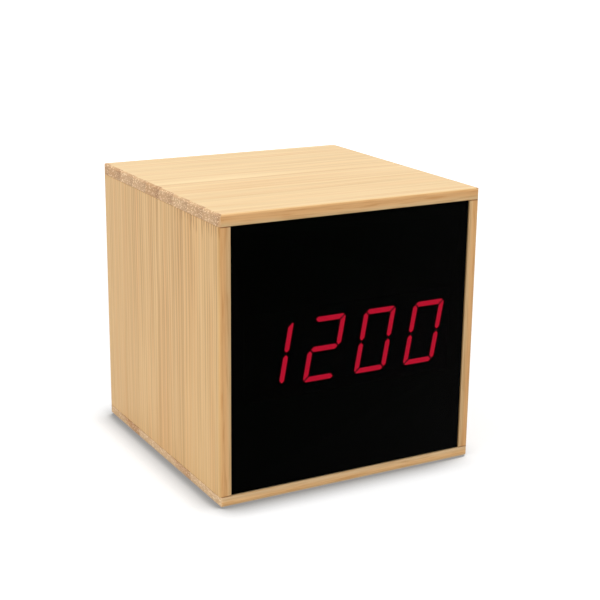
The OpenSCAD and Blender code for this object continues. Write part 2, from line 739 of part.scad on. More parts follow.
// Middle line of a conical contact spring along +X from its plate, with a straight end at each end
spring_rings = 8;
function spring_line() = let (
    n = spring_rings * spring_turns, run = spring_l - 2 * spring_wire_d,
    large = spring_large_d / 2, small = spring_small_d / 2
) concat(
    [[0, large, 0]],
    [for (i = [0 : n])
        let (r = large + (small - large) * i / n, a = 360 * i / spring_rings)
            [spring_wire_d + run * i / n, r * cos(a), r * sin(a)]],
    [[spring_l, small, 0]]
);
function spring_sides() = [for (p = spring_line()) unit([0, p[1], p[2]])];

// Least gap between two places of the spring that are half a turn or more apart
function spring_gap() = let (p = spring_line(), half = spring_rings / 2)
    min([
        for (i = [0 : len(p) - 1 - half])
            for (j = [i + half : len(p) - 1]) norm(p[i] - p[j])
    ]) - spring_wire_d;

module contact_springs() color(steel) {
    echo(least_gap_in_a_contact_spring = spring_gap());
    sides = 6;
    for (k = [0 : cells - 1])
        translate([0, cell_y, cell_z(k)]) rotate([0, 0, cell_side(k) > 0 ? 0 : 180])
            translate([-tray_w / 2 + contact_t, 0, 0])
                tube(spring_line(), spring_sides(), spring_wire_d / 2, sides);
}

// Solder tab through the tray's front wall, or the slot for it with a clearance
module solder_tab(tab, y0, y1, clear)
    box([tab[0] - contact_t / 2 - clear, y0, tab[1] - tab_w / 2 - clear],
        [tab[0] + contact_t / 2 + clear, y1, tab[1] + tab_w / 2 + clear]);

// Contact plates: two join a pair of cells, and two end in a solder tab
module contact_plates() color(tin) {
    reach = cell_d / 2 - contact_margin;
    for (end = [[1, 0, 1], [-1, 1, 2], [1, 2, 2], [-1, 0, 0]])
        box([end[0] * tab_x - contact_t / 2, cell_y - reach, cell_z(end[1]) - reach],
            [end[0] * tab_x + contact_t / 2, cell_y + reach, cell_z(end[2]) + reach]);
    for (tab = tabs) solder_tab(tab, tab_y0, cell_y, 0);
}

// Insulated leads from the solder tabs to the switch board
module battery_leads() {
    steps = 3;
    sides = 8;
    for (lead = [[red_lead, glow_red], [black_lead, black_abs]]) {
        line = through(lead[0], steps);
        color(lead[1]) tube(line, [for (p = line) [1, 0, 0]], lead_d / 2, sides);
    }
}

// Switch board, buttons and power socket

module switch_board() color(pcb_green) difference() {
    box([-switch_board_w / 2, switch_board_y0, switch_board_z0],
        [switch_board_w / 2, switch_y0, switch_board_z1]);
    for (x = [-switch_screw_x, switch_screw_x])
        rod(x, switch_screw_z, small_screw_d + 2 * screw_clear, switch_board_y0 - past, switch_y0 + past);
}

module switch_board_screws() color(steel)
    for (x = [-switch_screw_x, switch_screw_x])
        translate([x, switch_board_y0, switch_screw_z]) rotate([0, 0, 180])
            screw(small_screw_d, small_screw_l, small_head_d, small_head_h);

module tact_switches() color(black_abs)
    for (x = button_x)
        difference() {
            box([x - switch_w / 2, switch_y0, row_z - switch_w / 2],
                [x + switch_w / 2, switch_y1, row_z + switch_w / 2]);
            rod(x, row_z, plunger_d + 2 * plunger_clear,
                switch_y1 - switch_d / 2 - button_travel, switch_y1 + past);
        }

// Push-button with a rounded rim, a flange behind the cover and a hollow mark in its top
module button(x) difference() {
    top = flange_t + cover_t + button_proud;
    translate([x, flange_y0, row_z]) rotate([-90, 0, 0]) rotate_extrude() {
        square([flange_d / 2, flange_t]);
        square([button_d / 2, top - button_round]);
        square([button_d / 2 - button_round, top]);
        translate([button_d / 2 - button_round, top - button_round]) intersection() {
            circle(button_round);
            square(button_round);
        }
    }
    translate([x, cover_y1 + button_proud, row_z]) along_y(2 * mark_depth) children();
}

// Marks on the buttons: a ring, and a triangle that points up or down
module ring_mark() difference() {
    circle(d = mark_w);
    circle(d = mark_w * 0.6);
}

module arrow_mark(up)
    polygon([[-mark_w / 2, -mark_w * 0.3 * up], [mark_w / 2, -mark_w * 0.3 * up], [0, mark_w * 0.55 * up]]);

module set_button() color(grey_abs) button(button_x[0]) ring_mark();

module down_button() color(grey_abs) button(button_x[1]) arrow_mark(-1);

module up_button() color(grey_abs) button(button_x[2]) arrow_mark(1);

// Plunger that a button's flange rests on
module plunger(x) color(tin) rod(x, row_z, plunger_d, switch_y1 - switch_d / 2, flange_y0);

module set_plunger() plunger(button_x[0]);

module down_plunger() plunger(button_x[1]);

module up_plunger() plunger(button_x[2]);

// Outline of the socket's mouth, grown by e on every side
function socket_outline(e) = let (
    w = socket_w / 2 + e, h = socket_h / 2 + e, c = socket_corner + e * (2 - sqrt(2))
) [[-w, h], [w, h], [w, -h + c], [w - c, -h], [-w + c, -h], [-w, -h + c]];

// Shell of the power socket, standing on the switch board
module power_socket() color(steel)
    translate([socket_x, (switch_y0 + socket_y1) / 2, row_z]) difference() {
        along_y(socket_y1 - switch_y0) polygon(socket_outline(socket_wall));
        along_y(socket_y1 - switch_y0 + 2 * past) polygon(socket_outline(0));
    }

// Insulator in the socket with its contact tongue
module socket_tongue() color(black_abs) {
    translate([socket_x, switch_y0 + socket_base / 2, row_z])
        along_y(socket_base) polygon(socket_outline(0));
    box([socket_x - tongue_w / 2, switch_y0 + socket_base / 2, row_z - tongue_t / 2],
        [socket_x + tongue_w / 2, socket_y1 - tongue_recess, row_z + tongue_t / 2]);
}

top_board();
bottom_board();
left_board();
right_board();
corner_posts();
display_panel();
display_frame();
led_housing();
lit_segments();
unlit_segments();
display_pins();
main_board();
board_screws();
clock_chip();
crystal_can();
buzzer();
capacitor();
ribbon_cable();
rear_cover();
cover_screws();
battery_door();
aaa_cells();
contact_springs();
contact_plates();
battery_leads();
switch_board();
switch_board_screws();
tact_switches();
set_button();
down_button();
up_button();
set_plunger();
down_plunger();
up_plunger();
power_socket();
socket_tongue();
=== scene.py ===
import math

import bpy
from mathutils import Euler, Matrix, Vector


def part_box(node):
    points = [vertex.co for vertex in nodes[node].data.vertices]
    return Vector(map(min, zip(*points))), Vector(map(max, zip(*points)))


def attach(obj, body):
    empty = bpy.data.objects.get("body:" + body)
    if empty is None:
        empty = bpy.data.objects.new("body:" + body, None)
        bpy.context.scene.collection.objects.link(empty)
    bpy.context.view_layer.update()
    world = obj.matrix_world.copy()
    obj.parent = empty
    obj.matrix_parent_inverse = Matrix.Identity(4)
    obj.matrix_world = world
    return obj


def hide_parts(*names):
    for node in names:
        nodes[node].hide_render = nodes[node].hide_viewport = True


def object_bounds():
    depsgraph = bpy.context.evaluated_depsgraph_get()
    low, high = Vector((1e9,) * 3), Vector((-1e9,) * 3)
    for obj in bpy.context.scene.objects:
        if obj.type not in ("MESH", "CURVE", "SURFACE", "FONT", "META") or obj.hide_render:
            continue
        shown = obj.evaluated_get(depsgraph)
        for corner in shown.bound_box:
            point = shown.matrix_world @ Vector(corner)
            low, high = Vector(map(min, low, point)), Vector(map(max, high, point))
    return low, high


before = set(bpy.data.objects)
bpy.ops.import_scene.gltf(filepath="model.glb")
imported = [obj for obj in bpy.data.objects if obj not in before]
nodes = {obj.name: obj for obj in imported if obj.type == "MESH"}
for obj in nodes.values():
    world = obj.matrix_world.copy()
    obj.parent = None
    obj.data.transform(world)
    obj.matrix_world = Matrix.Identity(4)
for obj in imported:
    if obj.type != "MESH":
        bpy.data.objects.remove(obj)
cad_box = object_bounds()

# Bottom board
# The board that the clock stands on: wide bamboo strips glued edge to edge, planed thin and sanded.
# It runs the full width of the box, so its end grain shows at both sides under the side boards.


def place(tree, kind, inputs, **settings):
    """A shader node with its settings, its inputs set to values or fed from sockets."""
    made = tree.nodes.new(kind)
    for name, value in settings.items():
        setattr(made, name, value)
    for name, value in inputs.items():
        if isinstance(value, bpy.types.NodeSocket):
            tree.links.new(value, made.inputs[name])
        else:
            made.inputs[name].default_value = value
    return made


def sum_up(tree, operation, *values):
    """What a Math node makes of the values."""
    return place(tree, "ShaderNodeMath", dict(enumerate(values)), operation=operation).outputs[0]


def times(tree, value, factor, *more):
    """Value times factor, with one more value added where it is given."""
    return sum_up(tree, "MULTIPLY_ADD" if more else "MULTIPLY", value, factor, *more)


def ramp(tree, value, start, end):
    """A smooth rise from 0 at start to 1 at end."""
    limits = {"Value": value, "From Min": start, "From Max": end}
    return place(tree, "ShaderNodeMapRange", limits, interpolation_type="SMOOTHSTEP").outputs[0]


def fall(tree, value, start, end):
    """A smooth drop from 1 at start to 0 at end."""
    return sum_up(tree, "SUBTRACT", 1.0, ramp(tree, value, start, end))


def stain(tree, share, ground, coat, blend="MIX"):
    """Ground colour with a share of the coat's colour over it."""
    colours = {0: share, 6: ground, 7: coat}
    return place(tree, "ShaderNodeMix", colours, data_type="RGBA", blend_type=blend).outputs[2]


def noise(tree, at, scale, detail, roughness=0.5):
    """Soft random variation from 0 to 1."""
    inputs = {"Vector": at, "Scale": scale, "Detail": detail, "Roughness": roughness}
    return place(tree, "ShaderNodeTexNoise", inputs).outputs[0]


def spots(tree, at, scale, inner, outer):
    """Scattered round spots, 1 in their middle and 0 beyond their outer radius."""
    cells = place(tree, "ShaderNodeTexVoronoi", {"Vector": at, "Scale": scale}).outputs["Distance"]
    return fall(tree, cells, inner, outer)


def stretched(tree, parts, along, across, shift):
    """Board coordinates drawn out along the grain, for what follows the fibres."""
    return place(tree, "ShaderNodeCombineXYZ", {
        "X": times(tree, parts[0], along),
        "Y": times(tree, parts[1], across),
        "Z": times(tree, parts[2], across, shift),
    }).outputs[0]


def new_group(name, inputs):
    """An empty shader group for a surface, with its inputs given as name: kind."""
    group = bpy.data.node_groups.new(name, "ShaderNodeTree")
    outputs = {"Color": "Color", "Roughness": "Float", "Height": "Float"}
    for in_out, sockets in (("INPUT", {"At": "Vector", **inputs}), ("OUTPUT", outputs)):
        for socket, kind in sockets.items():
            group.interface.new_socket(socket, in_out=in_out, socket_type="NodeSocket" + kind)
    given = group.nodes.new("NodeGroupInput").outputs
    result = group.nodes.new("NodeGroupOutput").inputs
    return group, given, result


def make_bamboo():
    """Bamboo as a solid, at millimetres along the grain, across the strips and inwards from the face."""
    tree, given, result = new_group("bamboo", {
        "Strip": "Float", "Shift": "Float", "Seed": "Float", "Glue": "Float",
        "Half Length": "Float", "Half Depth": "Float", "End Grain": "Float",
        "Broad": "Float", "Pitch": "Float", "Lines": "Float", "Line Start": "Float", "Fade": "Float",
        "Tips": "Float", "Seam": "Float",
        "Skin": "Float", "Skin Start": "Float", "Skin Slant": "Float", "Dot Lean": "Float",
        "Light": "Color", "Dark": "Color", "Edge Outer": "Color", "Edge Inner": "Color",
        "End Light": "Color", "End Ground": "Color", "End Skin": "Color",
    })
    along, across, inward = place(tree, "ShaderNodeSeparateXYZ", {0: given["At"]}).outputs

    # Strips glued side by side, each with its own tint and its own share of dark fibres
    leaning = times(tree, inward, 0.25, across)
    strips = sum_up(tree, "DIVIDE", sum_up(tree, "ADD", leaning, given["Shift"]), given["Strip"])
    strip = sum_up(tree, "FLOOR", strips)
    skin_side = sum_up(tree, "FRACT", strips)
    number = sum_up(tree, "ADD", strip, given["Seed"])
    chance = place(tree, "ShaderNodeTexWhiteNoise", {"W": number}, noise_dimensions="1D").outputs
    tint, line_share, _ = place(tree, "ShaderNodeSeparateColor", {0: chance["Color"]}).outputs
    apart = times(tree, number, 13.7)
    to_joint = times(tree, sum_up(tree, "PINGPONG", skin_side, 0.5), given["Strip"])
    joint = fall(tree, to_joint, 0.05, 0.35)

    # Fibre bundles, which wander a little: dark lines, finer threads and broad soft streaks
    drift = noise(tree, stretched(tree, (along, across, inward), 0.045, 0.06, apart), 1.0, 1.0)
    wandering = (along, times(tree, drift, 0.9, across), inward)
    in_row = sum_up(tree, "DIVIDE", sum_up(tree, "ADD", wandering[1], apart), given["Pitch"])
    from_line = place(tree, "ShaderNodeTexVoronoi", {"W": in_row, "Scale": 1.0, "Randomness": 0.7},
                      voronoi_dimensions="1D").outputs["Distance"]
    bundles = fall(tree, from_line, 0.0, 0.42)
    strength = noise(tree, stretched(tree, wandering, 0.035, 0.7, apart), 1.0, 1.0)
    strength = times(tree, ramp(tree, strength, 0.3, 0.68), 0.7, 0.3)
    lines = times(tree, bundles, strength)
    threads = noise(tree, stretched(tree, wandering, 0.03, 1.9, apart), 1.0, 3.0, 0.6)
    broad = noise(tree, stretched(tree, wandering, 0.012, 0.4, apart), 1.0, 2.0)
    own_share = times(tree, line_share, 0.6, 0.7)
    line_depth = times(tree, given["Lines"], own_share)
    past_start = ramp(tree, sum_up(tree, "SUBTRACT", across, given["Line Start"]), -0.3, 0.3)
    line_depth = times(tree, line_depth, times(tree, past_start, 0.55, 0.45))
    faded = times(tree, fall(tree, along, -24.0, 22.0), given["Fade"])
    line_depth = times(tree, line_depth, sum_up(tree, "SUBTRACT", 1.0, faded))
    skin = times(tree, sum_up(tree, "POWER", skin_side, 2.5), given["Skin"])
    tone = times(tree, sum_up(tree, "SUBTRACT", broad, 0.5), given["Broad"], -0.2)
    tone = times(tree, threads, 0.7, tone)
    tone = times(tree, lines, line_depth, tone)
    tone = sum_up(tree, "ADD", tone, skin)
    tone = times(tree, tint, 0.08, tone)
    tone = times(tree, joint, given["Glue"], tone)

    # Cut fibre tips that stay dark near the upper end of a board
    reach = noise(tree, stretched(tree, wandering, 0.05, 0.9, apart), 1.0, 1.0)
    past_top = sum_up(tree, "SUBTRACT", along, given["Half Length"])
    past_tip = times(tree, reach, 10.0, past_top)
    tips = times(tree, bundles, ramp(tree, past_tip, 2.5, 4.5))
    tips = times(tree, tips, ramp(tree, across, 4.0, 18.0))
    tone = times(tree, tips, given["Tips"], tone)
    face = stain(tree, tone, given["Light"], given["Dark"])
    rosy = noise(tree, stretched(tree, wandering, 0.02, 0.55, apart), 1.0, 2.0)
    face = stain(tree, ramp(tree, rosy, 0.42, 0.72), face, (1.0, 0.945, 0.90, 1), "MULTIPLY")

    # Front and rear edges: browner than the faces, with long streaks, and greyer towards the inside
    layer = times(tree, broad, 1.6, inward)
    edge = stain(tree, ramp(tree, layer, 1.9, 3.3), given["Edge Outer"], given["Edge Inner"])
    streak = times(tree, ramp(tree, threads, 0.38, 0.72), 0.7)
    edge = stain(tree, streak, edge, (0.78, 0.70, 0.60, 1), "MULTIPLY")
    flecks = noise(tree, stretched(tree, wandering, 0.11, 2.2, apart), 1.0, 2.0)
    edge = stain(tree, ramp(tree, flecks, 0.48, 0.66), edge, (0.90, 0.82, 0.72, 1), "MULTIPLY")
    past_end = sum_up(tree, "SUBTRACT", sum_up(tree, "ABSOLUTE", along), given["Half Length"])
    # Painted shade: a dark line at both ends of the front and rear edges, where the board meets the next
    # one.
    painted_seam_shade = times(tree, ramp(tree, past_end, -0.32, -0.1), given["Seam"])
    edge = stain(tree, painted_seam_shade, edge, (0.45, 0.34, 0.26, 1), "MULTIPLY")
    out = sum_up(tree, "SUBTRACT", sum_up(tree, "ABSOLUTE", across), given["Half Depth"])
    colour = stain(tree, ramp(tree, out, -0.3, -0.05), face, edge)

    # End grain: pale fibre ends in brown, finer and darker towards the skin side of each strip
    ends = place(tree, "ShaderNodeCombineXYZ", {
        "X": apart, "Y": times(tree, inward, given["Dot Lean"], across),
        "Z": times(tree, inward, 1.5),
    }).outputs[0]
    coarse = spots(tree, ends, 1.5, 0.12, 0.5)
    dense = spots(tree, ends, 2.1, 0.12, 0.46)
    slanted = times(tree, inward, given["Skin Slant"], skin_side)
    skin_end = ramp(tree, slanted, given["Skin Start"], 1.05)
    pale = times(tree, sum_up(tree, "SUBTRACT", dense, coarse), skin_end, coarse)
    pale = times(tree, tint, 0.2, pale)
    ground = stain(tree, skin_end, given["End Ground"], given["End Skin"])
    end = stain(tree, pale, ground, given["End Light"])
    over = times(tree, pale, -0.3, past_end)
    over = times(tree, threads, 0.5, over)
    over = times(tree, skin_end, 0.2, over)
    end_share = times(tree, ramp(tree, over, -0.4, -0.1), given["End Grain"])
    colour = stain(tree, end_share, colour, end)

    tree.links.new(colour, result["Color"])
    rough = times(tree, threads, 0.2, 0.34)
    tree.links.new(times(tree, end_share, 0.12, rough), result["Roughness"])
    tree.links.new(times(tree, bundles, -0.7, threads), result["Height"])
    return tree


def new_finish(name):
    """A new material, its node tree and its shader."""
    material = bpy.data.materials.new(name)
    material.use_nodes = True
    return material, material.node_tree, material.node_tree.nodes["Principled BSDF"]


def own_coordinates(tree, turn=(0, 0, 0), shift=(0, 0, 0), per_metre=1000):
    """The piece's own coordinates in millimetres, turned and then shifted."""
    at = tree.nodes.new("ShaderNodeTexCoord").outputs["Object"]
    angles = [math.radians(angle) for angle in turn]
    return place(tree, "ShaderNodeMapping", {
        "Vector": at, "Location": shift, "Rotation": angles, "Scale": (per_metre,) * 3,
    }).outputs[0]


def finish(name, surface, look, depth, turn=(0, 0, 0), shift=(0, 0, 0), **shine):
    """A material with its surface from a group, relief of that depth in metres, and plain shine values."""
    material, tree, shader = new_finish(name)
    at = own_coordinates(tree, turn, shift)
    made = place(tree, "ShaderNodeGroup", {"At": at, **look}, node_tree=surface).outputs
    tree.links.new(made["Color"], shader.inputs["Base Color"])
    tree.links.new(made["Roughness"], shader.inputs["Roughness"])
    bump = place(tree, "ShaderNodeBump", {"Height": made["Height"], "Distance": depth})
    tree.links.new(bump.outputs[0], shader.inputs["Normal"])
    for socket, value in shine.items():
        shader.inputs[socket.replace("_", " ")].default_value = value
    return material


def dress(node, material):
    """Gives a solid of the frame its material."""
    nodes[node].data.materials.clear()
    nodes[node].data.materials.append(material)


mm = 0.001
bamboo = make_bamboo()
case_low, case_high = cad_box
case_half = [(high - low) / 2 / mm for low, high in zip(case_low, case_high)]
case_top = case_high.z / mm
grain_depth = 0.03 * mm
lacquer = {"Specular_IOR_Level": 0.25}
beyond = 99.0  # a place past every board
bottom_strips = {
    "Strip": 28.9, "Shift": -16.46, "Seed": 3.0, "Glue": 0.1, "Broad": 0.6, "Pitch": 1.6, "Lines": 0.3,
    "Line Start": -beyond, "Skin": 0.3,
}
bottom_skin = {"Skin Start": 0.85, "Skin Slant": 0.12, "Dot Lean": 0.9}
bottom_size = {"Half Length": case_half[0], "Half Depth": case_half[1], "End Grain": 1.0}
bottom_tones = {"Light": (0.86, 0.64, 0.37, 1), "Dark": (0.62, 0.38, 0.17, 1)}
bottom_ends = {
    "End Light": (1.0, 0.77, 0.51, 1),
    "End Ground": (0.68, 0.43, 0.22, 1),
    "End Skin": (0.52, 0.26, 0.11, 1),
}
# Painted light: the bottom board's front and rear edges are painted lighter than the other boards' edges,
# against the shade that the floor casts on them.
bottom_edges_painted_lighter = {"Edge Outer": (0.82, 0.505, 0.23, 1), "Edge Inner": (0.76, 0.53, 0.295, 1)}
dress("bottom_board", finish("bottom_bamboo", bamboo, {
    **bottom_strips, **bottom_skin, **bottom_size, **bottom_tones, **bottom_edges_painted_lighter, **bottom_ends,
}, grain_depth, (0, 0, 180), **lacquer))

# Side boards
# Two upright boards of wide bamboo strips, glued between the bottom and the top board.
# Their grain runs up, with fine dark fibre lines that differ from strip to strip.
side_strips = {
    "Strip": 26.0, "Shift": 13.0, "Seed": 11.0, "Glue": 0.15, "Broad": 0.1, "Pitch": 1.15, "Lines": 0.76,
    "Line Start": -13.0, "Fade": 0.52, "Skin": 0.1, "Seam": 1.0,
}
side_skin = {"Skin Start": 0.5, "Skin Slant": 0.0, "Dot Lean": 0.0}
side_low, side_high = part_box("left_board")
side_half = (side_high.z - side_low.z) / 2 / mm
side_size = {"Half Length": side_half, "Half Depth": case_half[1], "End Grain": 0.0}
side_tones = {"Light": (0.886, 0.586, 0.265, 1), "Dark": (0.52, 0.27, 0.09, 1)}
edge_tones = {"Edge Outer": (0.72, 0.41, 0.17, 1), "Edge Inner": (0.67, 0.45, 0.225, 1)}
end_tones = {
    "End Light": (1.0, 0.76, 0.48, 1),
    "End Ground": (0.61, 0.35, 0.17, 1),
    "End Skin": (0.46, 0.235, 0.105, 1),
}
for side, turn, middle, tips in (("left", -90, -case_top / 2, 0.55), ("right", 90, case_top / 2, 0.0)):
    dress(side + "_board", finish(side + "_bamboo", bamboo, {
        **side_strips, **side_skin, **side_size, **side_tones, **edge_tones, **end_tones, "Tips": tips,
    }, grain_depth, (0, turn, 180), (middle, 0, case_half[0]), **lacquer))

# Top board
# The lid of the box: narrow bamboo strips on edge, glued side by side, with the grain along the front.
# Each strip is darker towards the skin of the stem, which faces the front, and shows so in the end grain.
top_strips = {
    "Strip": 7.3, "Shift": -1.8, "Seed": 5.0, "Glue": 0.1, "Broad": 0.35, "Pitch": 2.6, "Lines": 0.25,
    "Line Start": -beyond, "Skin": 0.06,
}
top_skin = {"Skin Start": 0.3, "Skin Slant": 0.0, "Dot Lean": 0.2}
top_tones = {"Light": (0.93, 0.69, 0.37, 1), "Dark": (0.62, 0.36, 0.135, 1)}
dress("top_board", finish("top_bamboo", bamboo, {
    **top_strips, **top_skin, **bottom_size, **top_tones, **edge_tones, **end_tones,
}, grain_depth, (180, 0, 0), (0, 0, case_top), **lacquer))

# Corner posts
# Square bamboo sticks glued into the four inner corners: they stiffen the box and take the cover screws.
# They are cut from the same strips, with the grain from front to back.
post_size = {"Half Length": beyond, "Half Depth": beyond, "End Grain": 0.0}
dress("corner_posts", finish("post_bamboo", bamboo, {
    **side_strips, **side_skin, **post_size, **side_tones, **edge_tones, **end_tones,
}, grain_depth, (0, 0, 90), **lacquer))

# Light mask and display housing
# Black moulded frame glued behind the front sheet, and the black housing of the four digits in its window.
# Both are matt, so that no light strays beside the bars.


def make_moulding():
    """Moulded plastic: the fine spark grain of the mould, and a slight cloudiness of the gloss."""
    tree, given, result = new_group("moulding", {"Light": "Color", "Dark": "Color", "Matt": "Float"})
    grain = noise(tree, given["At"], 9.0, 3.0, 0.65)
    cloud = noise(tree, given["At"], 0.25, 2.0)
    tree.links.new(stain(tree, grain, given["Dark"], given["Light"]), result["Color"])
    matt = times(tree, grain, 0.16, given["Matt"])
    tree.links.new(times(tree, cloud, 0.08, matt), result["Roughness"])
    tree.links.new(grain, result["Height"])
    return tree


def moulded(name, light, dark, matt, **shine):
    """A finish of moulded plastic between two tones."""
    tones = {"Light": (*light, 1), "Dark": (*dark, 1), "Matt": matt}
    return finish(name, moulding, tones, mould_grain, **shine)


moulding = make_moulding()
mould_grain = 0.02 * mm
mask_black = moulded("mask_black", light=(0.012, 0.012, 0.012), dark=(0.006, 0.006, 0.006), matt=0.6,
                     Specular_IOR_Level=0.2)
dress("display_frame", mask_black)
dress("led_housing", mask_black)

# Display bars
# Seven bars to a digit, cast in red resin and lit from behind by the chips.
# The lit ones show twelve o'clock, and the others stay dark red.
lit_red, tree, shader = new_finish("lit_red")
glow = noise(tree, own_coordinates(tree), 0.5, 1.0)
glow_colour = stain(tree, glow, (0.95, 0.018, 0.080, 1), (1.0, 0.020, 0.087, 1))
tree.links.new(glow_colour, shader.inputs["Emission Color"])
tree.links.new(glow_colour, shader.inputs["Base Color"])
shader.inputs["Emission Strength"].default_value = 8.8
dress("lit_segments", lit_red)
dark_red = moulded("dark_red", light=(0.03, 0.005, 0.006), dark=(0.02, 0.004, 0.005), matt=0.45)
dress("unlit_segments", dark_red)

# Front sheet
# Smoked acrylic, laser-cut to the opening and glued onto the light mask, nearly flush with the boards.
# It is dark enough to hide the display, apart from the bars that are lit.
smoked_acrylic, tree, shader = new_finish("smoked_acrylic")
cloud = noise(tree, own_coordinates(tree), 0.08, 2.0)
smoke = stain(tree, cloud, (0.048, 0.030, 0.030, 1), (0.052, 0.034, 0.034, 1))
tree.links.new(smoke, shader.inputs["Base Color"])
tree.links.new(times(tree, cloud, 0.02, 0.03), shader.inputs["Roughness"])
shader.inputs["IOR"].default_value = 1.18
shader.inputs["Transmission Weight"].default_value = 1.0
shader.inputs["Specular Tint"].default_value = (0.01, 0.01, 0.01, 1)
dress("display_panel", smoked_acrylic)

# Main board
# Circuit board of glass cloth under green solder mask, screwed onto the light mask's bosses.
# Its copper tracks show paler through the mask, and the display's tinned pins come out at the back.


def mottled(tree, ground, grain, share, dark):
    """Ground colour darkened unevenly, by a share of the grain."""
    return stain(tree, times(tree, grain, share), ground, (dark, dark, dark, 1), "MULTIPLY")


def make_solder_mask():
    """Green solder mask over copper tracks and the weave of the glass cloth."""
    tree, given, result = new_group("solder_mask", {"Coat": "Color", "Track": "Color"})
    bare, copper, track_width = (0, 0, 0, 1), (1, 1, 1, 1), 0.13
    quarter_turn = {"Vector": given["At"], "Rotation": (0, 0, math.pi / 2)}
    crossing = place(tree, "ShaderNodeMapping", quarter_turn).outputs[0]
    layouts = []
    for at, length, spacing in ((given["At"], 6.1, 1.3), (crossing, 9.7, 2.9)):
        layouts.append(place(tree, "ShaderNodeTexBrick", {
            "Vector": at, "Scale": 1.0, "Mortar Size": track_width, "Brick Width": length,
            "Row Height": spacing, "Color1": bare, "Color2": bare, "Mortar": copper,
        }).outputs["Color"])
    area = ramp(tree, noise(tree, given["At"], 0.12, 1.0), 0.47, 0.5)
    tracks = stain(tree, area, *layouts)
    cloth = noise(tree, given["At"], 5.0, 2.0)
    coat = stain(tree, tracks, given["Coat"], given["Track"])
    tree.links.new(mottled(tree, coat, cloth, 0.3, 0.6), result["Color"])
    tree.links.new(times(tree, cloth, 0.15, 0.25), result["Roughness"])
    tree.links.new(times(tree, cloth, 0.3, tracks), result["Height"])
    return tree


track_height = 0.03 * mm
board_green = finish("board_green", make_solder_mask(), {
    "Coat": (0.012, 0.10, 0.045, 1), "Track": (0.03, 0.19, 0.085, 1),
}, track_height, (90, 0, 0))
dress("main_board", board_green)


def make_metal():
    """Bare metal: fine drawing marks, and patches where the surface has dulled."""
    tree, given, result = new_group("metal", {"Light": "Color", "Dark": "Color", "Matt": "Float"})
    marks = noise(tree, given["At"], 7.0, 4.0, 0.7)
    dull = noise(tree, given["At"], 0.6, 2.0)
    shade = times(tree, marks, 0.6, times(tree, dull, 0.4))
    tree.links.new(stain(tree, shade, given["Dark"], given["Light"]), result["Color"])
    matt = times(tree, marks, 0.14, given["Matt"])
    tree.links.new(times(tree, dull, 0.14, matt), result["Roughness"])
    tree.links.new(marks, result["Height"])
    return tree


def metallic(name, light, dark, matt):
    """A finish of bare or plated metal between two tones."""
    tones = {"Light": (*light, 1), "Dark": (*dark, 1), "Matt": matt}
    return finish(name, metal, tones, mark_depth, Metallic=1.0)


metal = make_metal()
mark_depth = 0.004 * mm
tinned = metallic("tinned_metal", light=(0.72, 0.71, 0.67), dark=(0.52, 0.52, 0.50), matt=0.2)
dress("display_pins", tinned)

# Chip, crystal, buzzer and capacitor
# What the main board carries: a moulded controller on gull-wing leads, a watch crystal in a drawn can on
# two wires, a round sounder with its hole, and an electrolytic capacitor in a shrunk sleeve.


def only(piece):
    """Selects this piece alone and makes it the active one."""
    bpy.ops.object.select_all(action="DESELECT")
    piece.select_set(True)
    bpy.context.view_layer.objects.active = piece


def fit(piece, body, slot, materials, *replaced):
    """Gives a finished piece its materials and its body, and hides the solids that it stands for; the slot
    is not used.
    """
    for material in materials:
        piece.data.materials.append(material)
    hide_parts(*replaced)
    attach(piece, body)


def put(name, data):
    """A new object of that name in the scene."""
    piece = bpy.data.objects.new(name, data)
    bpy.context.scene.collection.objects.link(piece)
    return piece


def weld():
    """Merges the corners that meet in the piece that is being edited."""
    bpy.ops.mesh.select_all(action="SELECT")
    bpy.ops.mesh.remove_doubles(threshold=0.001 * mm)


def softened(node, name, radius):
    """A solid of the frame as it comes out of its mould: the same form with its edges rounded."""
    piece = put(name, nodes[node].data.copy())
    piece.data.materials.clear()
    only(piece)
    bpy.ops.object.mode_set(mode="EDIT")
    weld()
    bpy.ops.mesh.dissolve_limited(angle_limit=math.radians(0.5))
    bpy.ops.object.mode_set(mode="OBJECT")
    rounding = piece.modifiers.new("rounding", "BEVEL")
    rounding.width = radius * mm
    rounding.segments = 2
    rounding.use_clamp_overlap = False
    rounding.loop_slide = False
    rounding.limit_method = "ANGLE"
    rounding.angle_limit = math.radians(40)
    bpy.ops.object.modifier_apply(modifier="rounding")
    bpy.ops.object.shade_smooth_by_angle(angle=math.radians(45))
    flat = piece.modifiers.new("flat", "WEIGHTED_NORMAL")
    flat.keep_sharp = True
    flat.weight = 100
    bpy.ops.object.modifier_apply(modifier="flat")
    return piece


def trace(name, points):
    """A line through points in millimetres, drawn out corner by corner and left open for editing."""
    bpy.ops.object.select_all(action="DESELECT")
    bpy.ops.mesh.primitive_plane_add(size=mm, location=Vector(points[0]) * mm)
    piece = bpy.context.object
    piece.name = name
    bpy.ops.object.transform_apply(location=True)
    bpy.ops.object.mode_set(mode="EDIT")
    bpy.ops.mesh.select_mode(type="VERT")
    bpy.ops.mesh.select_all(action="SELECT")
    bpy.ops.mesh.merge(type="CENTER")
    for start, end in zip(points, points[1:]):
        step = (Vector(end) - Vector(start)) * mm
        bpy.ops.mesh.extrude_region_move(TRANSFORM_OT_translate={"value": step})
    bpy.ops.mesh.select_all(action="SELECT")
    return piece


def close_up(smooth_angle):
    """Merges what meets in the piece that is being edited, turns its faces outward and smooths them."""
    weld()
    bpy.ops.mesh.normals_make_consistent(inside=False)
    bpy.ops.object.mode_set(mode="OBJECT")
    bpy.ops.object.shade_smooth_by_angle(angle=math.radians(smooth_angle))


def turned(name, section, steps=48):
    """A piece turned round Z: its half section, as radius and height in millimetres, spun once round."""
    piece = trace(name, [(radius, 0, height) for radius, height in section])
    bpy.ops.mesh.spin(steps=steps, angle=2 * math.pi, center=(0, 0, 0), axis=(0, 0, 1))
    close_up(35)
    return piece


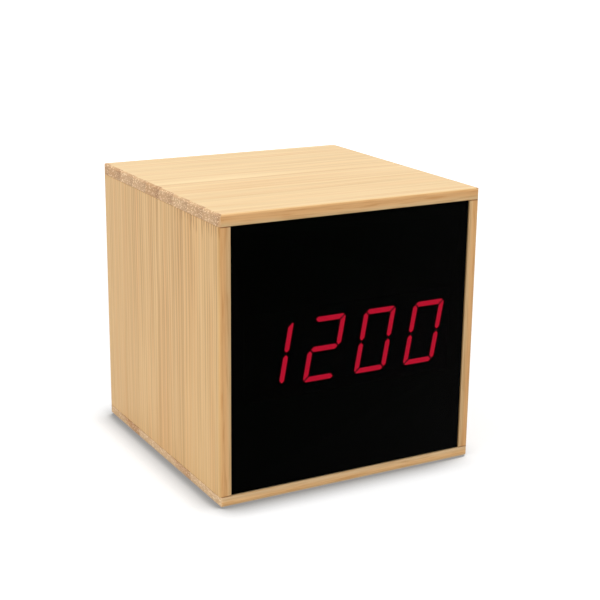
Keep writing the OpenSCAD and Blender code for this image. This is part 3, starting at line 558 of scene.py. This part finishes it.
def settle(piece, at, turn=(0, 0, 0)):
    """Turns a piece by degrees, moves it to its place in metres, and leaves it at the origin there."""
    piece.location = at
    piece.rotation_euler = [math.radians(angle) for angle in turn]
    only(piece)
    bpy.ops.object.transform_apply(location=True, rotation=True, scale=True)


def copy_of(model, name, at, turn=(0, 0, 0)):
    """A settled copy of a model, with its own mesh."""
    piece = put(name, model.data.copy())
    settle(piece, at, turn)
    return piece


def meshed(piece, smooth_angle):
    """Turns a curve into a closed mesh."""
    only(piece)
    bpy.ops.object.convert(target="MESH")
    bpy.ops.object.mode_set(mode="EDIT")
    close_up(smooth_angle)


def wire(name, points, thickness):
    """A round wire along a smooth line through the points, in millimetres."""
    line = bpy.data.curves.new(name, "CURVE")
    line.dimensions = "3D"
    line.bevel_depth = thickness / 2 * mm
    line.bevel_resolution = 3
    line.resolution_u = 6
    line.use_fill_caps = True
    run = line.splines.new("BEZIER")
    run.bezier_points.add(len(points) - 1)
    for bend, point in zip(run.bezier_points, points):
        bend.co = Vector(point) * mm
        bend.handle_left_type = bend.handle_right_type = "AUTO"
    piece = put(name, line)
    meshed(piece, 45)
    return piece


def standing(node):
    """Height and radius in millimetres of a round solid on a board, and its foot's middle in metres."""
    low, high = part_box(node)
    middle = (low + high) / 2
    return (high.y - low.y) / mm, (high.x - low.x) / 2 / mm, Vector((middle.x, low.y, middle.z))


resin = moulded("chip_resin", light=(0.030, 0.030, 0.032), dark=(0.014, 0.014, 0.015), matt=0.5)
chip_low, chip_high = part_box("clock_chip")
board_face = chip_low.y / mm
chip = softened("clock_chip", "chip_body", 0.15)
fit(chip, "case", "chip_resin", [resin], "clock_chip")
lead_count, lead_pitch, lead_width, lead_sheet = 14, 1.27, 0.4, 0.2
lead_middle = (chip_high.y - chip_low.y) / mm / 2
lead_path = [(0, lead_middle, -0.2), (0, lead_middle, 0.35), (0, lead_middle - 0.15, 0.5), (0, 0.25, 0.7),
             (0, 0.1, 0.85), (0, 0.1, 1.3)]
leads = trace("chip_leads", lead_path)
bpy.ops.mesh.extrude_region_move(TRANSFORM_OT_translate={"value": (lead_width * mm, 0, 0)})
bpy.ops.object.mode_set(mode="OBJECT")
sheet = leads.modifiers.new("sheet", "SOLIDIFY")
sheet.thickness = lead_sheet * mm
sheet.offset = 0
bpy.ops.object.modifier_apply(modifier="sheet")
row = leads.modifiers.new("row", "ARRAY")
row.count = lead_count
row.use_relative_offset = False
row.use_constant_offset = True
row.constant_offset_displace = (lead_pitch * mm, 0, 0)
bpy.ops.object.modifier_apply(modifier="row")
bpy.ops.object.mode_set(mode="EDIT")
close_up(30)
row_start = (chip_low.x + chip_high.x) / 2 - ((lead_count - 1) * lead_pitch + lead_width) / 2 * mm
settle(leads, (row_start, chip_low.y, chip_high.z))
lower_leads = copy_of(leads, "chip_leads_low", (0, 0, 0))
lower_leads.scale.z = -1
settle(lower_leads, (0, 0, chip_low.z + chip_high.z))
bpy.ops.object.mode_set(mode="EDIT")
close_up(30)
for piece in (leads, lower_leads):
    fit(piece, "case", "tinned_metal", [tinned], "clock_chip")

crystal_low, crystal_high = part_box("crystal_can")
can_radius = (crystal_high.z - crystal_low.z) / 2 / mm
can_length = (crystal_high.x - crystal_low.x) / mm
can = turned("crystal_can_drawn", [
    (0, 0), (0.8 * can_radius, 0), (0.8 * can_radius, 0.2), (can_radius, 0.25), (can_radius, 0.6),
    (0.93 * can_radius, 0.7), (0.93 * can_radius, can_length - 0.35), (0.86 * can_radius, can_length - 0.1),
    (0.7 * can_radius, can_length), (0, can_length),
])
can_middle = (crystal_low + crystal_high) / 2
settle(can, (crystal_low.x, can_middle.y, can_middle.z), (0, 90, 0))
fit(can, "case", "tinned_metal", [tinned], "crystal_can")
wire_off, wire_width = 0.35, 0.3
for side in (-1, 1):
    x, y, z = crystal_low.x / mm, can_middle.y / mm, can_middle.z / mm + side * wire_off
    crystal_wire = wire(f"crystal_wire_{side + 2}", [
        (x + 0.1, y, z), (x - 0.6, y, z), (x - 1.3, y - 0.2, z + side * 0.3),
        (x - 1.5, board_face - 0.1, z + side * 0.4),
    ], wire_width)
    fit(crystal_wire, "case", "tinned_metal", [tinned], "crystal_can")

tall, wide, foot = standing("buzzer")
sounder = turned("buzzer_body", [
    (0, 0), (wide - 0.35, 0), (wide - 0.35, 0.6), (wide, 0.8), (wide, tall - 0.5),
    (wide - 0.15, tall - 0.15), (wide - 0.5, tall), (1.3, tall), (1.0, tall - 0.25), (1.0, tall / 2),
    (0, tall / 2),
], 64)
settle(sounder, foot, (-90, 0, 0))
fit(sounder, "case", "chip_resin", [resin], "buzzer")


def make_sleeve():
    """Shrunk plastic film in one colour, with a paler stripe along one side."""
    tree, given, result = new_group("sleeve", {"Film": "Color", "Stripe": "Color"})
    grain = noise(tree, given["At"], 1.2, 3.0)
    side = place(tree, "ShaderNodeSeparateXYZ", {0: given["At"]}).outputs[0]
    stripe = ramp(tree, side, 2.5, 2.6)
    film = mottled(tree, given["Film"], grain, 0.5, 0.6)
    tree.links.new(stain(tree, stripe, film, given["Stripe"]), result["Color"])
    tree.links.new(times(tree, grain, 0.15, 0.25), result["Roughness"])
    tree.links.new(grain, result["Height"])
    return tree


tall, wide, foot = standing("capacitor")
capacitor = turned("capacitor_can", [
    (0, 0), (wide - 0.3, 0), (wide, 0.25), (wide, 0.9), (wide - 0.3, 1.15), (wide - 0.3, 1.35),
    (wide, 1.6), (wide, tall - 0.3), (wide - 0.25, tall), (wide - 0.6, tall), (wide - 0.7, tall - 0.12),
    (0, tall - 0.12),
])
for face in capacitor.data.polygons:
    on_top = face.center.z > (tall - 0.2) * mm
    face.material_index = int(on_top and face.center.xy.length < (wide - 0.6) * mm)
settle(capacitor, foot, (-90, 0, 0))
aluminium = metallic("aluminium", light=(0.75, 0.75, 0.76), dark=(0.58, 0.58, 0.60), matt=0.25)
film_grain = 0.01 * mm
capacitor_film = finish("capacitor_film", make_sleeve(), {
    "Film": (0.02, 0.03, 0.09, 1), "Stripe": (0.45, 0.47, 0.5, 1),
}, film_grain, shift=(-foot.x / mm, 0, 0))
fit(capacitor, "case", "aluminium_can", [capacitor_film, aluminium], "capacitor")

# Small screws
# Pan-head tapping screws of zinc-plated steel that hold the two circuit boards: a rounded head with a
# cross recess, and a shank with a coarse thread.


def screw_model(width, length, head_width, head_height):
    """A pan-head screw that points down, with its head's seat at height 0."""
    core, crest, pitch, head = 0.36 * width, 0.5 * width, 0.45 * width, head_width / 2
    section = [(0, -length), (core * 0.6, -length + 0.4 * width), (core, -length + 0.8 * width)]
    for turn in range(int((length - 1.1 * width) / pitch)):
        foot = -length + 0.9 * width + turn * pitch
        section += [(core, foot), (crest, foot + 0.25 * pitch), (crest, foot + 0.32 * pitch),
                    (core, foot + 0.6 * pitch)]
    section += [(core, 0), (head - 0.05, 0), (head, 0.1 * head_height)]
    for angle in range(0, 90, 15):
        lean = math.radians(angle)
        section.append((head * math.cos(lean), head_height * (0.4 + 0.6 * math.sin(lean))))
    screw = turned("screw", section + [(0, head_height)], 40)
    bpy.ops.object.select_all(action="DESELECT")
    bpy.ops.mesh.primitive_cube_add(size=mm, location=(0, 0, head_height * mm))
    recess = bpy.context.object
    recess.scale = (0.62 * head_width, 0.14 * head_width, 1.1 * head_height)
    bpy.ops.object.transform_apply(location=True, scale=True)
    for face in recess.data.polygons:
        face.select = face.normal.z < -0.5
    bpy.ops.object.mode_set(mode="EDIT")
    bpy.ops.mesh.select_mode(type="FACE")
    bpy.ops.transform.resize(value=(0.45, 0.7, 1))
    bpy.ops.object.mode_set(mode="OBJECT")
    for quarter in range(2):
        recess.rotation_euler.z = quarter * math.pi / 2
        cut = screw.modifiers.new("recess", "BOOLEAN")
        cut.operation, cut.solver, cut.object = "DIFFERENCE", "EXACT", recess
        only(screw)
        bpy.ops.object.modifier_apply(modifier="recess")
    bpy.data.objects.remove(recess)
    bpy.ops.object.shade_smooth_by_angle(angle=math.radians(35))
    return screw


def screw_places(node, head_width):
    """Where the screws of a group stand: x and z of their axes, each place once, from the group's box."""
    low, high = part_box(node)
    inset = head_width * mm / 2
    return sorted({(round(x, 6), round(z, 6)) for x in (low.x + inset, high.x - inset)
                   for z in (low.z + inset, high.z - inset)})


def drive_in(model, node, head_width, seat, lean, spin):
    """Copies of a screw at the places of a group, heads on the seat, each turned on by the same angle."""
    for count, (x, z) in enumerate(screw_places(node, head_width), 1):
        spun = copy_of(model, f"{node[:-1]}_{count}", (0, 0, 0), (0, 0, spin * count))
        settle(spun, (x, seat, z), (lean, 0, 0))
        fit(spun, "case", "steel", [zinc], node)


zinc = metallic("zinc_plated", light=(0.62, 0.62, 0.61), dark=(0.40, 0.40, 0.41), matt=0.22)
small_width, small_length, small_head, small_head_height = 1.9, 5.0, 3.6, 1.3
small_screw = screw_model(small_width, small_length, small_head, small_head_height)
for node, lean in (("board_screws", -90), ("switch_board_screws", 90)):
    low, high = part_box(node)
    seat = high.y - small_head_height * mm if lean < 0 else low.y + small_head_height * mm
    drive_in(small_screw, node, small_head, seat, lean, 37)
bpy.data.objects.remove(small_screw)

# Switch board with its switches
# Small circuit board behind the buttons. Each switch is a moulded body under a steel plate, and its
# round plunger goes down with the button above it.
dress("switch_board", board_green)
switches = softened("tact_switches", "switch_bodies", 0.08)
switch_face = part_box("tact_switches")[1].y - 0.05 * mm
for face in switches.data.polygons:
    face.material_index = int(face.normal.y > 0.9 and face.center.y > switch_face)
fit(switches, "case", "chip_resin", [resin, zinc], "tact_switches")
tall, wide, _ = standing("set_plunger")
clear = 0.06
plunger = turned("plunger", [
    (0, clear), (wide - 0.25, clear), (wide, 0.3), (wide, tall - 0.25), (wide - 0.08, tall - 0.08),
    (wide - 0.25, tall), (0, tall),
])
keys = ("set", "down", "up")
for key in keys:
    _, _, foot = standing(key + "_plunger")
    piece = copy_of(plunger, key + "_plunger_turned", foot, (-90, 0, 0))
    fit(piece, key + "_key", "chip_resin", [resin], key + "_plunger")
bpy.data.objects.remove(plunger)

# Power socket
# Nickel-plated shell, drawn from sheet and soldered to the switch board, round a moulded tongue that
# carries five gold-plated contacts.
nickel = metallic("nickel_plated", light=(0.70, 0.69, 0.66), dark=(0.50, 0.49, 0.47), matt=0.16)
shell = softened("power_socket", "socket_shell_drawn", 0.06)
fit(shell, "case", "socket_shell", [nickel], "power_socket")


def make_contacts():
    """Moulded tongue with a row of gold strips on its underside and top."""
    tree, given, result = new_group("contacts", {"Resin": "Color", "Gold": "Color"})
    side = place(tree, "ShaderNodeSeparateXYZ", {0: given["At"]}).outputs[0]
    grain = noise(tree, given["At"], 8.0, 3.0)
    half_pitch, row_half = 0.325, 1.5
    strips = sum_up(tree, "PINGPONG", sum_up(tree, "ADD", side, half_pitch), half_pitch)
    between = ramp(tree, strips, 0.12, 0.15)
    near = fall(tree, sum_up(tree, "ABSOLUTE", side), row_half, row_half + 0.05)
    gold = sum_up(tree, "SUBTRACT", near, times(tree, between, near))
    ground = mottled(tree, given["Resin"], grain, 0.6, 0.4)
    tree.links.new(stain(tree, gold, ground, given["Gold"]), result["Color"])
    tree.links.new(times(tree, gold, -0.25, 0.5), result["Roughness"])
    tree.links.new(times(tree, grain, 0.2, gold), result["Height"])
    return tree


tongue_low, tongue_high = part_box("socket_tongue")
strip_height = 0.02 * mm
dress("socket_tongue", finish("socket_contacts", make_contacts(), {
    "Resin": (0.025, 0.025, 0.027, 1), "Gold": (0.75, 0.48, 0.14, 1),
}, strip_height, shift=(-(tongue_low.x + tongue_high.x) / 2 / mm, 0, 0)))

# Ribbon cable
# Five wires side by side in grey insulation, with a red edge that marks the first one. It sags a little
# between the main board and the switch board, and is soldered to both.


def make_insulation():
    """Soft insulation, slightly uneven, with one marked edge where X is below 0."""
    tree, given, result = new_group("insulation", {"Light": "Color", "Dark": "Color", "Mark": "Color"})
    grain = noise(tree, given["At"], 1.5, 3.0)
    side = place(tree, "ShaderNodeSeparateXYZ", {0: given["At"]}).outputs[0]
    ground = stain(tree, grain, given["Dark"], given["Light"])
    marked = fall(tree, side, -0.05, 0.05)
    tree.links.new(stain(tree, marked, ground, given["Mark"]), result["Color"])
    tree.links.new(times(tree, grain, 0.2, 0.4), result["Roughness"])
    tree.links.new(grain, result["Height"])
    return tree


insulation = make_insulation()
ribbon_low, ribbon_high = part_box("ribbon_cable")
wires, ribbon_sheet, ribbon_sag = 5, 0.8, 2.0
wire_pitch = (ribbon_high.x - ribbon_low.x) / mm / wires
outline = bpy.data.curves.new("ribbon_outline", "CURVE")
outline.dimensions = "2D"
loop = outline.splines.new("POLY")
ridge_steps, valley = 8, 0.45
edge_line = []
for step in range(wires * ridge_steps + 1):
    bulge = valley + (1 - valley) * abs(math.sin(math.pi * step / ridge_steps))
    edge_line.append((wire_pitch * (step / ridge_steps - wires / 2), bulge * ribbon_sheet / 2))
corners = edge_line + [(x, -y) for x, y in reversed(edge_line)]
loop.points.add(len(corners) - 1)
for corner, (x, y) in zip(loop.points, corners):
    corner.co = (x * mm, y * mm, 0, 1)
loop.use_cyclic_u = True
outline_piece = put("ribbon_outline", outline)
run = bpy.data.curves.new("ribbon", "CURVE")
run.dimensions = "3D"
run.twist_mode = "Z_UP"
run.bevel_mode = "OBJECT"
run.bevel_object = outline_piece
run.use_fill_caps = True
path = run.splines.new("POLY")
bends = 36
path.points.add(bends)
for step, point in enumerate(path.points):
    y = ribbon_low.y + (ribbon_high.y - ribbon_low.y) * step / bends
    drop = ribbon_sag * (1 - math.cos(2 * math.pi * step / bends)) / 2
    point.co = (0, y, ribbon_high.z - (ribbon_sheet / 2 + drop) * mm, 1)
ribbon = put("ribbon", run)
meshed(ribbon, 50)
bpy.data.objects.remove(outline_piece)
pvc_grain = 0.02 * mm
grey_pvc = finish("grey_pvc", insulation, {
    "Light": (0.34, 0.34, 0.35, 1), "Dark": (0.24, 0.24, 0.25, 1), "Mark": (0.35, 0.03, 0.03, 1),
}, pvc_grain, shift=((wires / 2 - 1) * wire_pitch, 0, 0))
fit(ribbon, "case", "grey_pvc", [grey_pvc], "ribbon_cable")

# Rear cover
# Black back moulded in one piece with the battery tray, in fine spark grain: sound holes over the bottom
# edge, holes for the buttons and the socket, and a finger hollow over the door.
black_abs = moulded("black_abs", light=(0.030, 0.030, 0.032), dark=(0.016, 0.016, 0.017), matt=0.42)
cover = softened("rear_cover", "rear_cover_moulded", 0.15)
fit(cover, "case", "black_abs", [black_abs], "rear_cover")

# Battery contacts
# Plates of tinned sheet in the ends of the tray, and a conical spring of nickel-plated wire at each cell's
# negative end.
plates = softened("contact_plates", "contact_plates_pressed", 0.06)
fit(plates, "case", "tinned_metal", [tinned], "contact_plates")
spring_nickel = metallic("spring_nickel", light=(0.66, 0.65, 0.63), dark=(0.46, 0.46, 0.45), matt=0.18)
cells_low, cells_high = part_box("aaa_cells")
cell_width, cell_length = 10.5, 44.5
cell_y = (cells_low.y + cells_high.y) / 2 / mm
row_low, row_high = cells_low.z / mm + cell_width / 2, cells_high.z / mm - cell_width / 2
cell_rows = [(row_low, 1), ((row_low + row_high) / 2, -1), (row_high, 1)]
plates_low, plates_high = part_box("contact_plates")
plate_sheet = 0.3
plate_face = plates_high.x / mm - plate_sheet
spring_length, spring_wire, spring_turns = 4.9, 0.6, 3
wide_end, narrow_end = 3.3, 2.2
coil_steps = 12 * spring_turns
coil = [(0, wide_end, 0)]
for step in range(coil_steps + 1):
    share = step / coil_steps
    rise = spring_wire + (spring_length - 2 * spring_wire) * share
    radius = wide_end + (narrow_end - wide_end) * share
    angle = 2 * math.pi * spring_turns * share
    coil.append((rise, radius * math.cos(angle), radius * math.sin(angle)))
spring = wire("spring", coil + [(spring_length, narrow_end, 0)], spring_wire)
for count, (row_z, side) in enumerate(cell_rows, 1):
    foot = (-side * plate_face * mm, cell_y * mm, row_z * mm)
    piece = copy_of(spring, f"contact_spring_{count}", foot, (0, 0, 0 if side > 0 else 180))
    fit(piece, "case", "spring_steel", [spring_nickel], "contact_springs")
bpy.data.objects.remove(spring)

# Battery leads
# A red and a black stranded wire in soft insulation, from the tabs of the end plates to the switch board.
# Both are soldered at their ends and lie loose between them.
switch_board_low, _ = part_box("switch_board")
tab_x, tab_y = plate_face + plate_sheet / 2, plates_low.y / mm
pad_x, pad_y, pad_z = 18.2, switch_board_low.y / mm, switch_board_low.z / mm + 2.9
red_tab, red_pad = Vector((tab_x, tab_y, row_high)), Vector((pad_x, pad_y, pad_z))
black_tab, black_pad = Vector((-tab_x, tab_y, row_low)), Vector((-pad_x, pad_y, pad_z))
insulated_width = 1.2
red_route = [red_tab + Vector(step) for step in (
    (0, 0, 0), (0, -0.8, 0), (0, -1.6, 0), (-0.2, -2.8, 2), (-1.2, -2.6, 5.5))]
red_route += [red_pad + Vector(step) for step in (
    (3.5, -6.5, -1.2), (0.8, -4, -0.1), (0, -2.4, 0), (0, -1.2, 0), (0, 0, 0))]
black_route = [black_tab + Vector(step) for step in (
    (0, 0, 0), (0, -0.8, 0), (0, -1.6, 0), (0.2, -2.8, 2), (0.3, -3, 11), (0.4, -3, 20))]
black_route += [black_pad + Vector(step) for step in (
    (-5.2, -8.6, -6), (-3.2, -6, -1.4), (-0.8, -4, -0.1), (0, -2.4, 0), (0, -1.2, 0), (0, 0, 0))]
red_tones = {
    "Light": (0.42, 0.025, 0.02, 1),
    "Dark": (0.30, 0.018, 0.015, 1),
    "Mark": (0.36, 0.02, 0.018, 1),
}
black_lead_tones = {
    "Light": (0.022, 0.022, 0.023, 1),
    "Dark": (0.012, 0.012, 0.012, 1),
    "Mark": (0.018, 0.018, 0.018, 1),
}
unmarked = (beyond, 0, 0)
for name, route, tones in (("red", red_route, red_tones), ("black", black_route, black_lead_tones)):
    piece = wire(name + "_lead", route, insulated_width)
    pvc = finish(name + "_pvc", insulation, tones, pvc_grain, shift=unmarked)
    fit(piece, "case", "lead_pvc", [pvc], "battery_leads")

# Cells
# Three AAA cells: a drawn steel can in printed film, with a rolled rim, a pressed cap with the nub at the
# positive end and a plain steel disc at the other.


def make_film():
    """Printed film: a plain colour with a pale band at the positive end and a plus sign before it."""
    tree, given, result = new_group("film", {"Film": "Color", "Band": "Color", "Pitch": "Float"})
    along, out, up = place(tree, "ShaderNodeSeparateXYZ", {0: given["At"]}).outputs
    half = times(tree, given["Pitch"], 0.5)
    row = sum_up(tree, "WRAP", up, half, times(tree, half, -1.0))
    grain = noise(tree, given["At"], 0.9, 3.0)
    band_start, line_start, line_end, plus_at, blur = 13.9, 12.4, 13.0, 9.5, 0.1
    band = ramp(tree, along, band_start, band_start + blur)
    line_past = ramp(tree, along, line_end, line_end + blur)
    line = sum_up(tree, "SUBTRACT", ramp(tree, along, line_start, line_start + blur), line_past)
    x = sum_up(tree, "ABSOLUTE", sum_up(tree, "SUBTRACT", along, plus_at))
    z = sum_up(tree, "ABSOLUTE", row)
    bars = sum_up(tree, "LESS_THAN", sum_up(tree, "MINIMUM", x, z), 0.3)
    plus = times(tree, bars, sum_up(tree, "LESS_THAN", sum_up(tree, "MAXIMUM", x, z), 1.3))
    plus = times(tree, plus, sum_up(tree, "GREATER_THAN", out, 0.0))
    print_share = sum_up(tree, "MAXIMUM", sum_up(tree, "MAXIMUM", band, line), plus)
    film = mottled(tree, given["Film"], grain, 0.35, 0.6)
    tree.links.new(stain(tree, print_share, film, given["Band"]), result["Color"])
    tree.links.new(times(tree, grain, 0.12, 0.22), result["Roughness"])
    tree.links.new(grain, result["Height"])
    return tree


film = make_film()
film_tones = {
    "Film": (0.03, 0.10, 0.16, 1), "Band": (0.50, 0.52, 0.53, 1), "Pitch": (row_high - row_low) / 2,
}
cell_radius, nub_radius, can_top = cell_width / 2, 1.9, cell_length - 1.6
cell = turned("cell", [
    (0, 0.2), (3.3, 0.2), (3.5, 0.05), (4.3, 0), (cell_radius - 0.3, 0.1), (cell_radius, 0.45),
    (cell_radius, can_top), (cell_radius - 0.1, can_top + 0.35), (cell_radius - 0.45, can_top + 0.55),
    (4.2, can_top + 0.5), (3.9, can_top + 0.2), (2.5, can_top + 0.2), (2.0, can_top + 0.35),
    (nub_radius, can_top + 0.6), (nub_radius, cell_length - 0.25), (nub_radius - 0.1, cell_length - 0.08),
    (nub_radius - 0.3, cell_length), (0, cell_length),
], 64)
for face in cell.data.polygons:
    height, radius = face.center.z / mm, face.center.xy.length / mm
    bare_disc = height < 0.3 and radius < 4.6
    bare_cap = height > can_top and radius < 4.5
    face.material_index = int(bare_disc or bare_cap)
for count, (row_z, side) in enumerate(cell_rows, 1):
    start = side * (plate_face - cell_length) * mm
    piece = copy_of(cell, f"cell_{count}", (start, cell_y * mm, row_z * mm), (0, 90 * side, 0))
    flip = (0, 0, 0) if side > 0 else (0, 180, 0)
    shift = (cell_length / 2 - plate_face, -cell_y, -side * row_low)
    piece_film = finish(f"cell_film_{count}", film, film_tones, film_grain, flip, shift,
                        Specular_IOR_Level=0.6)
    fit(piece, "case", "cell_sleeve", [piece_film, nickel], "aaa_cells")
bpy.data.objects.remove(cell)

# Battery door
# Moulded in the same black plastic as the cover: it swings on two pins at its lower edge, and ribs under
# the finger hollow give the nail a hold.
door = softened("battery_door", "battery_door_moulded", 0.14)
fit(door, "door", "black_abs", [black_abs], "battery_door")

# Buttons
# Three round push-buttons of dark grey plastic behind the cover, with their marks moulded in and filled
# with pale paint.
grey_abs = moulded("grey_abs", light=(0.10, 0.10, 0.105), dark=(0.07, 0.07, 0.075), matt=0.36)
mark_paint = moulded("mark_paint", light=(0.62, 0.62, 0.60), dark=(0.50, 0.50, 0.48), matt=0.45)
mark_floor, mark_reach = 0.25, 1.7
for key in keys:
    low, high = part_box(key + "_button")
    middle = (low + high) / 2
    piece = softened(key + "_button", key + "_button_moulded", 0.08)
    for face in piece.data.polygons:
        off = Vector((face.center.x - middle.x, face.center.z - middle.z)).length
        sunk = high.y - face.center.y
        inside = off < mark_reach * mm and (mark_floor - 0.1) * mm < sunk < (mark_floor + 0.1) * mm
        face.material_index = int(inside)
    fit(piece, key + "_key", "grey_abs", [grey_abs, mark_paint], key + "_button")

# Cover screws
# Four larger screws of the same kind through the corners of the cover into the posts.
# Their threads cut their own way into the bamboo.
cover_width, cover_length, cover_head, cover_head_height = 2.2, 10.0, 4.2, 1.2
cover_screw = screw_model(cover_width, cover_length, cover_head, cover_head_height)
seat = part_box("cover_screws")[1].y - cover_head_height * mm
drive_in(cover_screw, "cover_screws", cover_head, seat, -90, 31)
bpy.data.objects.remove(cover_screw)

# Floor
# Plain pale sheet under the clock, white to the eye, which keeps the soft shadow round the base.
# Its own finish paints a darker shade where the clock nearly touches it, thinner beyond the left edge and
# towards the right.
floor_size = 8.0
bpy.ops.object.select_all(action="DESELECT")
bpy.ops.mesh.primitive_plane_add(size=floor_size)
floor = bpy.context.object
floor.name = "floor"
floor_white, tree, _ = new_finish("floor_white")
tree.nodes.clear()


def seen_white(tree):
    """1 where the eye, a mirror or a clear sheet looks, and 0 for light that is passed on."""
    rays = tree.nodes.new("ShaderNodeLightPath").outputs
    seen = sum_up(tree, "MAXIMUM", rays["Is Camera Ray"], rays["Is Glossy Ray"])
    return sum_up(tree, "MAXIMUM", seen, rays["Is Transmission Ray"])


bounce = place(tree, "ShaderNodeBsdfDiffuse", {"Color": (0.7, 0.7, 0.7, 1)}).outputs[0]
shadow_catcher = place(tree, "ShaderNodeBsdfDiffuse", {"Color": (0.4, 0.4, 0.4, 1)}).outputs[0]
far = place(tree, "ShaderNodeVectorMath", {0: own_coordinates(tree, per_metre=1)}, operation="LENGTH")
lift_level = times(tree, ramp(tree, far.outputs["Value"], 0.12, 0.5), 0.3, 0.7)
lift = place(tree, "ShaderNodeEmission", {"Strength": lift_level}).outputs[0]
white = place(tree, "ShaderNodeAddShader", {0: shadow_catcher, 1: lift}).outputs[0]
contact_reach = 7 * mm
contact = place(tree, "ShaderNodeAmbientOcclusion", {"Distance": contact_reach}, samples=32).outputs["AO"]
# The shade at the contact is painted: a grey glow, blended in where the clock hides the floor within the
# contact reach.
painted_contact_shade = place(tree, "ShaderNodeEmission", {"Color": (0.32, 0.31, 0.30, 1)}).outputs[0]
open_share = place(tree, "ShaderNodeMapRange", {"Value": contact, "From Min": 0.5}).outputs[0]
floor_x = place(tree, "ShaderNodeSeparateXYZ", {0: own_coordinates(tree)}).outputs[0]
left_edge, right_edge = -case_half[0], case_half[0]
# The painted contact shade is made thinner beyond the left edge and towards the right, by place on the
# floor.
thickness = 1.0
for thin_from, thin_to, change in (
    (left_edge, left_edge - 2.0, -0.35), (-15.0, 15.0, -0.15), (17.0, right_edge + 1.0, -0.64),
):
    thickness = times(tree, ramp(tree, floor_x, thin_from, thin_to), change, thickness)
open_share = sum_up(tree, "POWER", open_share, thickness)
shaded = place(tree, "ShaderNodeMixShader", {0: open_share, 1: painted_contact_shade, 2: white}).outputs[0]
look = place(tree, "ShaderNodeMixShader", {0: seen_white(tree), 1: bounce, 2: shaded}).outputs[0]
place(tree, "ShaderNodeOutputMaterial", {"Surface": look})
floor.data.materials.append(floor_white)

# Lamps
# A wide soft light over the clock, two weaker ones at its left and before it, and an even room round it
# that looks white.
studio = bpy.data.worlds.new("studio")
studio.use_nodes = True
bpy.context.scene.world = studio
tree = studio.node_tree
tree.nodes.clear()
room_level = 0.5
room = place(tree, "ShaderNodeBackground", {"Strength": room_level}).outputs[0]
backdrop = place(tree, "ShaderNodeBackground", {"Color": (1, 1, 1, 1), "Strength": 1.0}).outputs[0]
look = place(tree, "ShaderNodeMixShader", {0: seen_white(tree), 1: room, 2: backdrop}).outputs[0]
place(tree, "ShaderNodeOutputWorld", {"Surface": look})
case_middle = (case_low + case_high) / 2


def soft_light(name, place_at, width, power):
    """A square soft light that faces the clock."""
    data = bpy.data.lights.new(name, "AREA")
    data.size = width
    data.energy = power
    lamp = put(name, data)
    lamp.location = place_at
    lamp.rotation_euler = (case_middle - Vector(place_at)).to_track_quat("-Z", "Y").to_euler()


soft_light("overhead", (-0.1, -0.05, 0.9), 0.9, 5.0)
soft_light("left_side", (-0.9, -0.25, 0.5), 0.6, 2.6)
soft_light("front_side", (0.25, -1.0, 0.4), 0.6, 2.6)

# Camera
# Stands to the left of the front and a little above the clock, as in the photograph, with a long lens
# and a slight roll.
camera_data = bpy.data.cameras.new("camera")
camera_data.sensor_width = 36
camera_data.lens = 80.34
camera = put("camera", camera_data)
camera.location = (-0.13973, -0.2597, 0.118)
turn, tilt, roll = math.radians(29.02), math.radians(16.09), math.radians(0.67)
aim = Euler((math.pi / 2 - tilt, 0, -turn)).to_matrix() @ Matrix.Rotation(roll, 3, "Z")
camera.rotation_euler = aim.to_euler()
bpy.context.scene.camera = camera
bpy.context.scene.view_settings.view_transform = "Standard"
